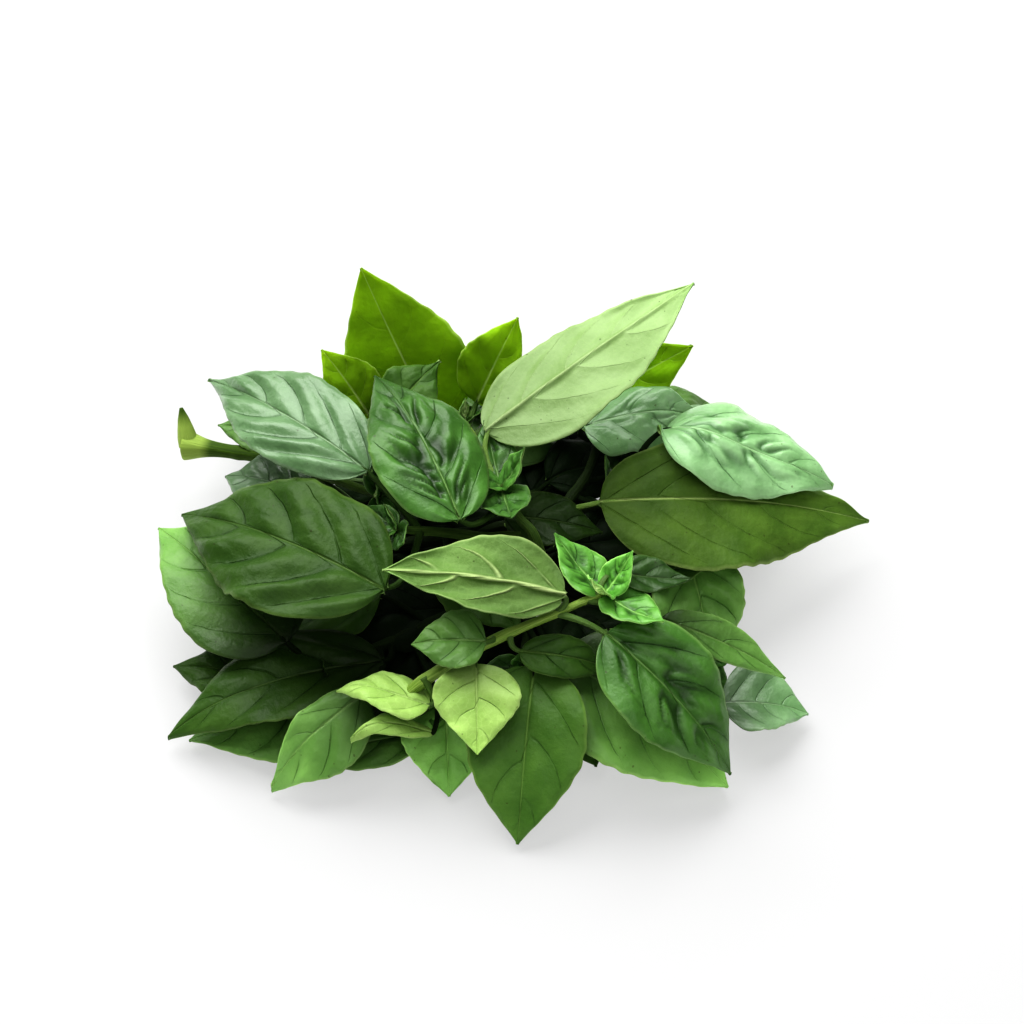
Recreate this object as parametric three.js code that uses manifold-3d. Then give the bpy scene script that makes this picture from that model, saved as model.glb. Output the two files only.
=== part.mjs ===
// A bunch of fresh basil: cut leafy sprigs heaped on their side, as they lie on a board.
// Millimetres, +Z up. The origin is on the surface that the bunch lies on, under its middle;
// +X is to the bunch's right and +Y to its back.
//
// Each sprig is a square stem with leaves in pairs on stalks and a tuft of young leaves at
// its tip. The sprigs are laid one after another, the lowest first. Whatever of a sprig would
// pass through those below it is bent up until it lies over them, so no two sprigs cross.
import * as THREE from "three";
import { mergeVertices } from "three/addons/utils/BufferGeometryUtils.js";
import Module from "manifold-3d";

const wasm = await Module();
wasm.setup();

// ---------- driving sizes ----------
const BLADE_THICK = 0.7; // leaf blade
const CLEARANCE = 0.4; // air left between two sprigs where one lies on another
const STALK_ROOT_R = 1.0; // leaf stalk where it leaves the stem
const STALK_BLADE_R = 0.65; // leaf stalk where it runs into the midrib
const STALK_STOPS = 1.0; // how far before the blade the stalk's even part ends
const STALK_OUTWARD = 0.35; // a stalk's first, level stretch, as a share of its reach
const STALK_RUN_IN = 0.4; // its last stretch, in line with the midrib, as a share of its reach
const STEM_TIP_SHARE = 0.5; // stem's half width at its tip, as a share of that at the cut
const MIDDLE = [0.69, -3.57]; // middle of the bunch as seen from above, in the layout below

// Where a blade's rows and columns lie: along it from base to tip, and across it.
const LEAF_ROWS = [0, 0.12, 0.32, 0.56, 0.79, 1];
const LEAF_COLUMNS = [-1, -0.5, 0, 0.5, 1];
const SMALL_ROWS = [0, 0.3, 0.65, 1];
const YOUNG_ROWS = [0, 0.45, 1];
const NARROW_COLUMNS = [-1, 0, 1];
const SMALL_WIDTH = 17; // a blade narrower than this has the fewer rows and columns

// A leaf blade's outline: widest just below its middle, round at the base, drawn to a point.
const OUTLINE_BASE = 0.5;
const OUTLINE_TIP = 0.9;
const OUTLINE_PEAK_AT = OUTLINE_BASE / (OUTLINE_BASE + OUTLINE_TIP);
const OUTLINE_PEAK =
  OUTLINE_PEAK_AT ** OUTLINE_BASE * (1 - OUTLINE_PEAK_AT) ** OUTLINE_TIP;
const BASE_WIDTH = 1.6;
const TIP_WIDTH = 0.7;
const CUP_POWER = 1.5; // above 1, so that the blade is flat along its midrib

// The tuft at a stem's tip: pairs of young leaves, each pair turned a quarter from the last.
const TUFT_PAIRS = [
  { length: 17, width: 11, open: 70 },
  { length: 11, width: 7.5, open: 34 },
];
const TUFT_LEAN = 0.35; // how far a tuft turns up from its stem's way, as a share
const TUFT_POSE = { arch: -0.08, cup: 0.25 };
const TUFT_SET_BACK = 1.2; // how far below the stem's end the outer pair starts
const TUFT_PAIR_RISE = 0.6; // and how much higher the next pair does

// What is left of a leaf stalk where a stem is cut just past a pair of leaves.
const STUB_RADII = [2.3, 1.4, 0.5];
const STUB_ROOT_AT = 0.2; // as a share of the stem's first stretch
const STUB_WAIST_AT = 0.45; // as a share of the stub's length

const GREENS = { shaded: 0x2f5f2a, deep: 0x467a3a, bright: 0x6ba83c, pale: 0x8fbf78 };
const LEAF_ROUGHNESS = 0.45;

// ---------- the sprigs, lowest first ----------
// leaf(node, base, tip, width, pose): node is how far up the stem its stalk starts, from 0 to 1;
// base and tip are the blade's ends. In pose, roll turns the blade about its midrib in degrees,
// its left side up; a leaf that shows its underside has a roll near 180. arch and bend are how
// far the midrib bows up and to the left, as shares of the blade's length, and cup is how far
// the edges rise above the midrib, as a share of its half width.
function leaf(node, base, tip, width, pose = {}) {
  const full = { roll: 0, arch: 0.07, cup: 0.1, bend: 0, ...pose };
  return { node, base, tip, width, ...full };
}

const SPRIGS = [
  {
    name: "sprig_front_left",
    green: GREENS.shaded,
    stem: [[-6, 2, 1.9], [-11, -26, 4], [-20, -50, 12]],
    halfWidth: 1.9,
    lies: 0.4,
    tuft: { size: 0.7, turn: 20 },
    leaves: [
      leaf(0.2, [-14, 2, 6], [-42, 4, 5], 24),
      leaf(0.35, [-16, -20, 7], [-46, -31, 5], 28),
      leaf(0.35, [-2, -22, 8], [16, -46, 4], 28),
      leaf(0.65, [-22, -54, 6], [-61, -61, 1], 18, { arch: 0.05 }),
      leaf(0.7, [-18, -47, 12], [-17, -73, 0.5], 25, { arch: 0.1 }),
    ],
  },
  {
    name: "sprig_right_front",
    green: GREENS.shaded,
    stem: [[14, -2, 1.9], [32, -18, 4], [54, -34, 12]],
    halfWidth: 1.9,
    lies: 0.4,
    tuft: { size: 0.7, turn: 70 },
    leaves: [
      leaf(0.1, [17, 3, 5], [6, 26, 4], 22),
      leaf(0.3, [30, -6, 7], [62, 2, 5], 28),
      leaf(0.2, [15, -12, 7], [24, -32, 5], 22),
      leaf(0.35, [24, -22, 7], [44, -48, 4], 26),
      leaf(0.75, [48, -6, 24], [55.5, -32, 5], 26, { arch: 0.1 }),
      leaf(0.75, [38, -17, 22], [58, -10, 21], 12, { roll: -20 }),
      leaf(0.9, [57, -47, 10], [81, -46.5, 5], 20, { arch: 0.08, cup: 0.3 }),
    ],
  },
  {
    name: "sprig_back_low",
    green: GREENS.shaded,
    stem: [[-6, 16, 1.9], [-16, 34, 4], [-30, 46, 12]],
    halfWidth: 1.9,
    lies: 0.4,
    tuft: { size: 0.8, turn: 30 },
    leaves: [
      leaf(0.1, [4, 27, 6], [22, 57, 3], 28),
      leaf(0.1, [-12, 17, 6], [-37, 11, 5], 20),
      leaf(0.3, [-22, 21, 7], [-56, 25, 5], 28),
      leaf(0.35, [-4, 36, 7], [2, 68, 2], 30),
      leaf(0.7, [-20, 50, 10], [-24, 80, 1], 28),
      leaf(0.95, [-38, 42, 12], [-66, 60, 1], 28),
    ],
  },
  {
    name: "sprig_left_low",
    green: GREENS.deep,
    stem: [[-2, -8, 6], [-28, -24, 9], [-56, -38, 13]],
    halfWidth: 2.0,
    tuft: { size: 0.8, turn: 40 },
    leaves: [
      leaf(0.55, [-45, -46, 9], [-88, -54, 1], 29, { roll: -4, arch: 0.05 }),
      leaf(0.4, [-36, -14, 12], [-70, -12, 6], 28),
      leaf(0.9, [-57, -44, 10], [-93, -32, 8], 27),
      leaf(0.6, [-35, -38, 17], [-93.5, -55, 3], 30, { roll: 4, arch: 0.1, cup: 0.15 }),
      leaf(0.9, [-61, -36, 20], [-98, 5, 22], 35, { roll: -12, arch: 0.1 }),
      leaf(0.65, [-39, -53, 18], [-65, -71, 1], 24, { roll: -12, arch: 0.1 }),
      leaf(0.5, [-25, -56, 17], [-47, -62, 13], 9, { roll: 30 }),
    ],
  },
  {
    name: "sprig_front",
    green: GREENS.deep,
    stem: [[6, 26, 6], [5, -10, 10], [3, -44, 22]],
    halfWidth: 2.0,
    tuft: { size: 0.8, turn: 10 },
    leaves: [
      leaf(0.3, [12, 4, 12], [42, 10, 8], 30),
      leaf(0.6, [12, -36, 9], [23, -63, 1], 26, { arch: 0.05 }),
      leaf(0.7, [13, -45, 28], [58.5, -70, 1], 40, { roll: 6, arch: 0.1 }),
      leaf(0.85, [6, -50, 31], [1.5, -89, 0.5], 33, { arch: 0.12, cup: 0.12 }),
    ],
  },
  {
    name: "sprig_back_right",
    green: GREENS.deep,
    stem: [[12, 10, 9], [20, 26, 14], [26, 40, 22]],
    halfWidth: 1.8,
    tuft: { size: 0.8, turn: 0 },
    leaves: [
      leaf(0.3, [34, 16, 14], [80, 30, 3], 30),
      leaf(0.5, [28, 30, 12], [58, 44, 8], 28),
      leaf(0.7, [24, 46, 14], [26, 76, 1], 28),
      leaf(0.9, [36, 46, 16], [62, 62, 3], 26),
      leaf(0.8, [44, 36, 20], [78, 44, 10], 26),
      leaf(0.95, [24, 50, 24], [50, 49, 47.5], 22, { roll: 45, arch: 0.04 }),
      leaf(0.9, [20, 32, 33], [53, 34, 32], 24, { roll: -8, cup: -0.15 }),
    ],
  },
  {
    name: "sprig_right",
    green: GREENS.deep,
    stem: [[-40, 6, 10], [-4, 3, 24], [30, 8, 30]],
    halfWidth: 1.9,
    tuft: { size: 0.8, turn: 50 },
    leaves: [
      leaf(0.3, [-16, -8, 24], [2, -32, 20], 26),
      leaf(0.35, [-2, -1, 34], [25, -4, 31], 17, { roll: 12 }),
      leaf(0.5, [24, 1, 38], [99.5, 11, 17], 36, { roll: 18, arch: 0.1, cup: 0.08 }),
      leaf(1, [41, 21, 38], [89, 13, 25], 30, { roll: 8, arch: 0.12, cup: -0.1 }),
    ],
  },
  {
    name: "sprig_back",
    green: GREENS.bright,
    stem: [[-2, 17, 18], [-7, 28, 22], [-14, 40, 26]],
    halfWidth: 1.8,
    tuft: { size: 0.7, turn: 25 },
    leaves: [
      leaf(0.8, [-6, 52, 16], [-6, 82, 2], 28),
      leaf(0.5, [6, 40, 24], [12, 68, 12], 26),
      leaf(0.8, [-22, 47, 16], [-42, 65, 62], 36, { roll: -40, arch: 0.03, cup: 0.06 }),
      leaf(0.9, [-10, 46, 27], [1.5, 51, 57], 20, { roll: 40, arch: 0.03 }),
      leaf(0.9, [-40, 40, 28], [-53, 49, 46], 18, { roll: -20 }),
      leaf(0.7, [-34, 32, 38], [-20, 47, 44], 20, { roll: 10 }),
    ],
  },
  {
    name: "sprig_left_back",
    green: GREENS.deep,
    stem: [[-92, 37, 19], [-66, 28, 23], [-36, 3, 38]],
    halfWidth: 1.9,
    cutNode: { flare: 1.6, stub: [-93, 43, 28] },
    tuft: { size: 0.9, turn: 60 },
    leaves: [
      leaf(0.3, [-62, 36, 20], [-83, 43, 21], 16),
      leaf(0.4, [-64, 42, 21], [-74, 66, 6], 24),
      leaf(0.45, [-57, 10, 30], [-80, 21, 25], 24),
      leaf(0.6, [-42, -2, 32], [-62, -18, 27], 24),
      leaf(0.7, [-32, 14, 33], [-6, 22, 34], 26),
    ],
  },
  {
    name: "sprig_left_top",
    green: GREENS.deep,
    stem: [[2, -11, 32], [-14, -13, 41], [-32, -15, 46]],
    halfWidth: 1.7,
    tuft: { size: 0.8, turn: 30 },
    leaves: [
      leaf(0.8, [-34, -36, 46], [-91, 3, 30], 40, { roll: -10, arch: 0.1 }),
      leaf(0.8, [-39, 1, 50], [-85, 45, 38], 29, { roll: -14, arch: 0.1 }),
    ],
  },
  {
    name: "sprig_front_top",
    green: GREENS.bright,
    stem: [[-33, -58, 28], [-21, -53, 32], [-4, -47, 39], [12, -43, 45], [25, -38, 48]],
    halfWidth: 1.6,
    tuft: { size: 1.25, turn: 24, lean: 0.85 },
    leaves: [
      leaf(0.2, [-22, -58, 24], [-47, -55, 22], 17, { roll: 10 }),
      leaf(0.3, [-9.5, -54, 37], [-9.2, -75, 25], 23, { cup: 0.2 }),
      leaf(0.5, [-7, -46, 40], [-27, -45, 38], 18, { roll: -10 }),
      leaf(0.55, [2, -50, 36], [28, -50, 24], 13, { roll: 30 }),
      leaf(0.9, [40, -42, 41], [74, -47, 21.5], 12, { roll: 12, cup: 0.2 }),
      leaf(0.75, [25, -49, 44], [59, -72, 12], 31, { roll: 10, arch: 0.12, cup: 0.12 }),
      leaf(0.95, [28, -33, 50], [48, -32, 46], 12, { arch: -0.06, cup: 0.3 }),
      leaf(0.75, [14, -41, 50], [-34.5, -33, 50], 28, { roll: 170, arch: -0.08 }),
    ],
  },
  {
    name: "sprig_top",
    green: GREENS.pale,
    stem: [[10, -20, 24], [3, -10, 40], [-3, -3, 50]],
    halfWidth: 1.6,
    tuft: { size: 1.3, turn: 60, lean: 0.7 },
    leaves: [
      leaf(0.8, [-7, 14, 52], [50.5, 55, 66], 28, { roll: 176, arch: -0.05, bend: 0.02 }),
      leaf(0.85, [-14, -20, 56], [-37.5, 30, 58], 31, { roll: 6, arch: 0.1, cup: -0.1 }),
    ],
  },
];

// ---------- the pile so far, as heights over the surface ----------
const CELL = 1.0;
const GRID_CORNER = [-130.37, -130.61];
const GRID_SIZE = 262;
const SURFACE_TOP = 0.05 - CLEARANCE; // the surface itself may be touched, but for a hair
const emptyPile = () => new Float64Array(GRID_SIZE * GRID_SIZE).fill(SURFACE_TOP);

function cellOf(x, y) {
  return [
    Math.floor((x - GRID_CORNER[0]) / CELL),
    Math.floor((y - GRID_CORNER[1]) / CELL),
  ];
}

// The highest thing within reach cells of (x, y).
function pileTop(pile, x, y, reach) {
  const [column, row] = cellOf(x, y);
  let top = SURFACE_TOP;
  for (let j = row - reach; j <= row + reach; j++)
    for (let i = column - reach; i <= column + reach; i++)
      top = Math.max(top, pile[j * GRID_SIZE + i]);
  return top;
}

function raisePile(pile, x, y, z) {
  const [column, row] = cellOf(x, y);
  const cell = row * GRID_SIZE + column;
  pile[cell] = Math.max(pile[cell], z);
}

// ---------- tubes: stems and leaf stalks ----------
const SETTLE_ROUNDS = 90;
const SETTLE_ENOUGH = 0.02;
const SETTLE_FACTOR = 1.1;
const TIE = 1e-9;
const STEM_STEPS = 10;
const STEM_KERNEL = 0.16; // how far along a stem a push spreads, as a share of its length
const STALK_STEPS = 4;
const STALK_KERNEL = 0.25;
const STALK_FREEDOM = 6; // a stalk's ends are held; away from them it bends freely
const LINE_SAMPLES = 4; // tested for clearance in each step of a stem or stalk
const PILE_STEP = 0.6 * CELL; // the most between two points that raise the pile

// Lifts a line of points until it is clear of the pile. hold(s) says how free the point is.
function settleLine(pile, points, radii, kernel, hold) {
  const last = points.length - 1;
  for (let round = 0; round < SETTLE_ROUNDS; round++) {
    let worst = SETTLE_ENOUGH;
    let at = -1;
    for (let k = 0; k <= last * LINE_SAMPLES; k++) {
      const along = k / LINE_SAMPLES;
      const i = Math.min(last - 1, Math.floor(along));
      const f = along - i;
      const x = points[i].x + (points[i + 1].x - points[i].x) * f;
      const y = points[i].y + (points[i + 1].y - points[i].y) * f;
      const z = points[i].z + (points[i + 1].z - points[i].z) * f;
      const r = radii[i] + (radii[i + 1] - radii[i]) * f;
      const lack = pileTop(pile, x, y, Math.ceil(r)) + CLEARANCE + r - z;
      if (lack * hold(along / last) > worst + TIE) {
        worst = lack * hold(along / last);
        at = along / last;
      }
    }
    if (at < 0) return;
    points.forEach((p, i) => {
      const off = (i / last - at) / kernel;
      p.z += worst * SETTLE_FACTOR * Math.exp(-0.5 * off * off) * hold(i / last);
    });
  }
}

function raiseLine(pile, points, radii) {
  const last = points.length - 1;
  for (let i = 0; i < last; i++) {
    const steps = Math.ceil(points[i].distanceTo(points[i + 1]) / PILE_STEP);
    for (let k = 0; k <= steps; k++) {
      const p = points[i].clone().lerp(points[i + 1], k / steps);
      const r = radii[i] + ((radii[i + 1] - radii[i]) * k) / steps;
      for (let dx = -r; dx <= r; dx += r / 2)
        for (let dy = -r; dy <= r; dy += r / 2)
          raisePile(pile, p.x + dx, p.y + dy, p.z + r);
    }
  }
}

// Rings of four corners round the points of a line, the sides upright and level.
function tubeRings(points, radii) {
  const corners = [[-1, -1], [1, -1], [1, 1], [-1, 1]];
  return points.flatMap((p, i) => {
    const along = points[Math.min(i + 1, points.length - 1)]
      .clone()
      .sub(points[Math.max(i - 1, 0)])
      .normalize();
    const side = new THREE.Vector3(0, 0, 1).cross(along).normalize();
    const up = along.clone().cross(side);
    return corners.map(([a, b]) =>
      p
        .clone()
        .addScaledVector(side, a * radii[i])
        .addScaledVector(up, b * radii[i]),
    );
  });
}

// Triangles of a tube's sides and its first end; rings counts the rings.
function tubeIndex(rings) {
  const index = [0, 2, 1, 0, 3, 2];
  for (let i = 0; i < rings - 1; i++)
    for (let c = 0; c < 4; c++) {
      const [a, b] = [4 * i + c, 4 * i + ((c + 1) % 4)];
      index.push(a, b, b + 4, a, b + 4, a + 4);
    }
  return index;
}

function tube(points, radii) {
  const index = tubeIndex(points.length);
  const end = 4 * (points.length - 1);
  index.push(end, end + 1, end + 2, end, end + 2, end + 3);
  return solidFrom(tubeRings(points, radii), index);
}

// ---------- leaf blades ----------
const BLADE_KERNEL_ROWS = 1.3; // how far a push spreads, in rows and in columns
const BLADE_KERNEL_COLUMNS = 1.6;
const SAMPLES_ALONG = 5;
const SAMPLES_ACROSS = 3;
const STEEPEST = 3; // a steep blade's upright thickness, at most, in blade thicknesses
const LEVEL_LEAST = 1e-9;
const STALK_MEETS_ROW = 0.3; // up to here the stalk, not the blade, decides the clearance
const LONGEST_ROW = 1.6; // in mean rows

function halfWidthAt(s, width) {
  const shape = s ** OUTLINE_BASE * (1 - s) ** OUTLINE_TIP;
  const ends = THREE.MathUtils.lerp(BASE_WIDTH, TIP_WIDTH, s);
  return Math.max((width * shape) / OUTLINE_PEAK, ends) / 2;
}

// The blade's middle surface as rows of points, before it is bent clear.
function bladeGrid(spec, rows, columns) {
  const base = new THREE.Vector3(...spec.base);
  const chord = new THREE.Vector3(...spec.tip).sub(base);
  const length = chord.length();
  const along = chord.clone().normalize();
  const hint = spec.face ?? new THREE.Vector3(0, 0, 1);
  const level = hint.clone().cross(along).normalize();
  const side = level.applyAxisAngle(along, THREE.MathUtils.degToRad(spec.roll));
  const up = along.clone().cross(side);
  return rows.map((s) => {
    const hump = 4 * s * (1 - s);
    const rib = base
      .clone()
      .addScaledVector(chord, s)
      .addScaledVector(up, spec.arch * length * hump)
      .addScaledVector(side, spec.bend * length * hump);
    const half = halfWidthAt(s, spec.width);
    return columns.map((t) =>
      rib
        .clone()
        .addScaledVector(side, half * t)
        .addScaledVector(up, spec.cup * half * Math.abs(t) ** CUP_POWER),
    );
  });
}

function slopeOf(a, b, c) {
  const normal = b.clone().sub(a).cross(c.clone().sub(a));
  const flat = Math.hypot(normal.x, normal.y);
  const level = Math.max(Math.abs(normal.z), LEVEL_LEAST);
  return Math.min(STEEPEST, Math.hypot(1, flat / level));
}

// Calls visit(point, slope, row, column) for samples over the grid's surface.
function sampleGrid(grid, along, across, visit) {
  for (let i = 0; i < grid.length - 1; i++)
    for (let j = 0; j < grid[0].length - 1; j++) {
      const [a, b, c, d] = [grid[i][j], grid[i][j + 1], grid[i + 1][j], grid[i + 1][j + 1]];
      const slope = slopeOf(a, b.clone().lerp(d, 0.5), c.clone().lerp(d, 0.5));
      for (let u = 0; u <= along; u++)
        for (let v = 0; v <= across; v++) {
          const left = a.clone().lerp(c, u / along);
          const right = b.clone().lerp(d, u / along);
          visit(left.lerp(right, v / across), slope, i + u / along, j + v / across);
        }
    }
}

function settleBlade(pile, grid) {
  const middle = (grid[0].length - 1) / 2;
  for (let round = 0; round < SETTLE_ROUNDS; round++) {
    let worst = SETTLE_ENOUGH;
    let at = null;
    sampleGrid(grid, SAMPLES_ALONG, SAMPLES_ACROSS, (p, slope, row, column) => {
      const atStalk = row < STALK_MEETS_ROW && Math.abs(column - middle) < 1;
      const half = atStalk ? STALK_BLADE_R : BLADE_THICK / 2;
      const lack = pileTop(pile, p.x, p.y, 1) + CLEARANCE + half * slope - p.z;
      if (lack > worst + TIE) {
        worst = lack;
        at = [row, column];
      }
    });
    if (!at) return;
    grid.forEach((line, i) =>
      line.forEach((p, j) => {
        const a = (i - at[0]) / BLADE_KERNEL_ROWS;
        const b = (j - at[1]) / BLADE_KERNEL_COLUMNS;
        p.z += worst * SETTLE_FACTOR * Math.exp(-0.5 * (a * a + b * b));
      }),
    );
  }
}

function raiseBlade(pile, grid) {
  const rowLength = grid[0][0].distanceTo(grid.at(-1)[0]) / (grid.length - 1);
  const widest = Math.max(...grid.map((line) => line[0].distanceTo(line.at(-1))));
  const along = Math.ceil((LONGEST_ROW * rowLength) / PILE_STEP);
  const across = Math.ceil(widest / (grid[0].length - 1) / PILE_STEP);
  sampleGrid(grid, along, across, (p, slope) =>
    raisePile(pile, p.x, p.y, p.z + (BLADE_THICK / 2) * slope),
  );
}

// A blade's corners: the grid's surface, half the thickness to either side.
function bladeCorners(grid) {
  const rows = grid.length;
  const columns = grid[0].length;
  return [1, -1].flatMap((face) =>
    grid.flatMap((line, i) =>
      line.map((p, j) => {
        const along = grid[Math.min(i + 1, rows - 1)][j]
          .clone()
          .sub(grid[Math.max(i - 1, 0)][j]);
        const across = line[Math.min(j + 1, columns - 1)]
          .clone()
          .sub(line[Math.max(j - 1, 0)]);
        const normal = along.cross(across).normalize();
        return p.clone().addScaledVector(normal, (face * BLADE_THICK) / 2);
      }),
    ),
  );
}

// Triangles of a blade's two faces and of its rim, all but the rim of its base.
function bladeIndex(rows, columns) {
  const under = rows * columns;
  const index = [];
  for (let i = 0; i < rows - 1; i++)
    for (let j = 0; j < columns - 1; j++) {
      const a = i * columns + j;
      const [b, c, d] = [a + 1, a + columns, a + columns + 1];
      index.push(a, c, b, b, c, d);
      index.push(under + a, under + b, under + c, under + b, under + d, under + c);
    }
  const rim = [];
  for (let i = 0; i < rows; i++) rim.push(i * columns + columns - 1);
  for (let j = columns - 2; j >= 0; j--) rim.push((rows - 1) * columns + j);
  for (let i = rows - 2; i >= 0; i--) rim.push(i * columns);
  for (let k = 0; k < rim.length - 1; k++) {
    const [a, b] = [rim[k], rim[k + 1]];
    index.push(a, b, under + a, b, under + b, under + a);
  }
  return index;
}

function bladeSolid(grid) {
  const [rows, columns] = [grid.length, grid[0].length];
  const under = rows * columns;
  const index = bladeIndex(rows, columns);
  for (let a = 0; a < columns - 1; a++)
    index.push(a, a + 1, under + a, a + 1, under + a + 1, under + a);
  return solidFrom(bladeCorners(grid), index);
}

// A blade and its stalk in one closed solid: the stalk's last ring opens out to the blade's base.
function leafSolid(grid, points, radii) {
  const [rows, columns] = [grid.length, grid[0].length];
  const under = rows * columns;
  const position = bladeCorners(grid);
  const first = position.length;
  position.push(...tubeRings(points, radii));
  const index = bladeIndex(rows, columns);
  index.push(...tubeIndex(points.length).map((k) => k + first));

  const base = [];
  for (let j = columns - 1; j >= 0; j--) base.push(under + j);
  for (let j = 0; j < columns; j++) base.push(j);
  const corners = [0, columns - 1, columns, 2 * columns - 1];
  const ring = [3, 2, 1, 0].map((c) => first + 4 * (points.length - 1) + c);
  const apart = (turn) =>
    corners
      .map((k, c) => position[base[k]].distanceTo(position[ring[(c + turn) % 4]]))
      .reduce((sum, d) => sum + d);
  const turn = [0, 1, 2, 3].reduce((best, t) => (apart(t) < apart(best) ? t : best));
  for (let c = 0; c < 4; c++) {
    const [here, next] = [ring[(c + turn) % 4], ring[(c + turn + 1) % 4]];
    const stop = c === 3 ? base.length : corners[c + 1];
    for (let k = corners[c]; k < stop; k++)
      index.push(here, base[k], base[(k + 1) % base.length]);
    index.push(next, here, base[stop % base.length]);
  }
  return solidFrom(position, index);
}

const WELD = 1e-4;

function solidFrom(corners, index) {
  const geometry = new THREE.BufferGeometry();
  geometry.setFromPoints(corners);
  geometry.setIndex(index);
  const merged = mergeVertices(geometry, WELD);
  return new wasm.Manifold(
    new wasm.Mesh({
      numProp: 3,
      vertProperties: merged.attributes.position.array,
      triVerts: new Uint32Array(merged.index.array),
    }),
  );
}

// ---------- one sprig ----------
function stalkLine(root, grid) {
  const middle = (grid[0].length - 1) / 2;
  const base = grid[0][middle];
  const into = grid[1][middle].clone().sub(base).normalize();
  const reach = root.distanceTo(base);
  const outward = base.clone().sub(root).setZ(0).multiplyScalar(STALK_OUTWARD);
  const curve = new THREE.CubicBezierCurve3(
    root,
    root.clone().add(outward),
    base.clone().addScaledVector(into, -STALK_RUN_IN * reach - STALK_STOPS),
    base.clone().addScaledVector(into, -STALK_STOPS),
  );
  return curve.getPoints(STALK_STEPS);
}

function tuftLeaves(end, stemWay, tuft) {
  const top = new THREE.Vector3(0, 0, 1);
  const along = stemWay.clone().lerp(top, tuft.lean ?? TUFT_LEAN).normalize();
  const side = top.cross(stemWay).normalize();
  const up = along.clone().cross(side).normalize();
  const leaves = [];
  TUFT_PAIRS.forEach((pair, p) => {
    for (const half of [0, 180]) {
      const around = THREE.MathUtils.degToRad(tuft.turn + 90 * p + half);
      const open = THREE.MathUtils.degToRad(pair.open);
      const out = side
        .clone()
        .multiplyScalar(Math.cos(around))
        .addScaledVector(up, Math.sin(around));
      const way = along
        .clone()
        .multiplyScalar(Math.cos(open))
        .addScaledVector(out, Math.sin(open));
      const base = end
        .clone()
        .addScaledVector(along, TUFT_PAIR_RISE * p - TUFT_SET_BACK);
      const tip = base.clone().addScaledVector(way, pair.length * tuft.size);
      const width = pair.width * tuft.size;
      const spec = leaf(1, base.toArray(), tip.toArray(), width, TUFT_POSE);
      leaves.push({ ...spec, face: along.clone() });
    }
  });
  return leaves;
}

// The solid without the gaps that crossing young leaves close in between them.
function outerBody(solid) {
  return solid.decompose().reduce((a, b) => (b.volume() > a.volume() ? b : a));
}

function cutStub(line, tip) {
  const root = line[0].clone().lerp(line[1], STUB_ROOT_AT);
  const end = new THREE.Vector3(...tip);
  return { points: [root, root.clone().lerp(end, STUB_WAIST_AT), end], radii: STUB_RADII };
}

function sprigSolid(sprig, pile) {
  const withOwnLeaves = pile.slice();
  const stemPoints = new THREE.CatmullRomCurve3(
    sprig.stem.map((p) => new THREE.Vector3(...p)),
    false,
    "catmullrom",
    0.5,
  ).getPoints(STEM_STEPS);
  const lies = sprig.lies ?? 0;
  const stemRadii = stemPoints.map((_, i) => {
    const taper = Math.max(0, i / STEM_STEPS - lies) / (1 - lies);
    return sprig.halfWidth * THREE.MathUtils.lerp(1, STEM_TIP_SHARE, taper);
  });
  if (sprig.cutNode) stemRadii[0] *= sprig.cutNode.flare;
  settleLine(pile, stemPoints, stemRadii, STEM_KERNEL, () => 1);
  stemPoints.forEach((p, i) => {
    if (i < lies * STEM_STEPS) p.z = stemRadii[i];
  });
  const solids = [tube(stemPoints, stemRadii)];
  const lines = [{ points: stemPoints, radii: stemRadii }];
  const grids = [];

  for (const spec of sprig.leaves) {
    const small = spec.width < SMALL_WIDTH;
    const grid = small
      ? bladeGrid(spec, SMALL_ROWS, NARROW_COLUMNS)
      : bladeGrid(spec, LEAF_ROWS, LEAF_COLUMNS);
    settleBlade(withOwnLeaves, grid);
    const at = spec.node * STEM_STEPS;
    const i = Math.min(STEM_STEPS - 1, Math.floor(at));
    const root = stemPoints[i].clone().lerp(stemPoints[i + 1], at - i);
    const points = stalkLine(root, grid);
    const radii = points.map((_, k) =>
      THREE.MathUtils.lerp(STALK_ROOT_R, STALK_BLADE_R, k / STALK_STEPS),
    );
    const hold = (s) => Math.min(1, STALK_FREEDOM * s * (1 - s));
    settleLine(pile, points, radii, STALK_KERNEL, hold);
    raiseBlade(withOwnLeaves, grid);
    grids.push(grid);
    solids.push(leafSolid(grid, points, radii));
    lines.push({ points, radii });
  }

  const end = stemPoints.at(-1);
  const along = end.clone().sub(stemPoints.at(-2)).normalize();
  for (const spec of tuftLeaves(end, along, sprig.tuft)) {
    const grid = bladeGrid(spec, YOUNG_ROWS, NARROW_COLUMNS);
    settleBlade(pile, grid);
    grids.push(grid);
    solids.push(bladeSolid(grid));
  }
  if (sprig.cutNode) {
    const stub = cutStub(stemPoints, sprig.cutNode.stub);
    solids.push(tube(stub.points, stub.radii));
    lines.push(stub);
  }
  for (const line of lines) raiseLine(pile, line.points, line.radii);
  for (const grid of grids) raiseBlade(pile, grid);
  return outerBody(wasm.Manifold.union(solids));
}

// ---------- the bunch ----------
function sprigMesh(sprig, pile) {
  const made = sprigSolid(sprig, pile).getMesh();
  const geometry = new THREE.BufferGeometry();
  const position = new Float32Array(made.numVert * 3);
  for (let i = 0; i < made.numVert; i++)
    position.set(made.vertProperties.subarray(i * made.numProp, i * made.numProp + 3), 3 * i);
  geometry.setAttribute("position", new THREE.BufferAttribute(position, 3));
  geometry.setIndex(new THREE.BufferAttribute(made.triVerts, 1));
  const surface = new THREE.MeshStandardMaterial({
    color: sprig.green,
    roughness: LEAF_ROUGHNESS,
    metalness: 0,
  });
  const mesh = new THREE.Mesh(geometry, surface);
  mesh.name = sprig.name;
  return mesh;
}

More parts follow.
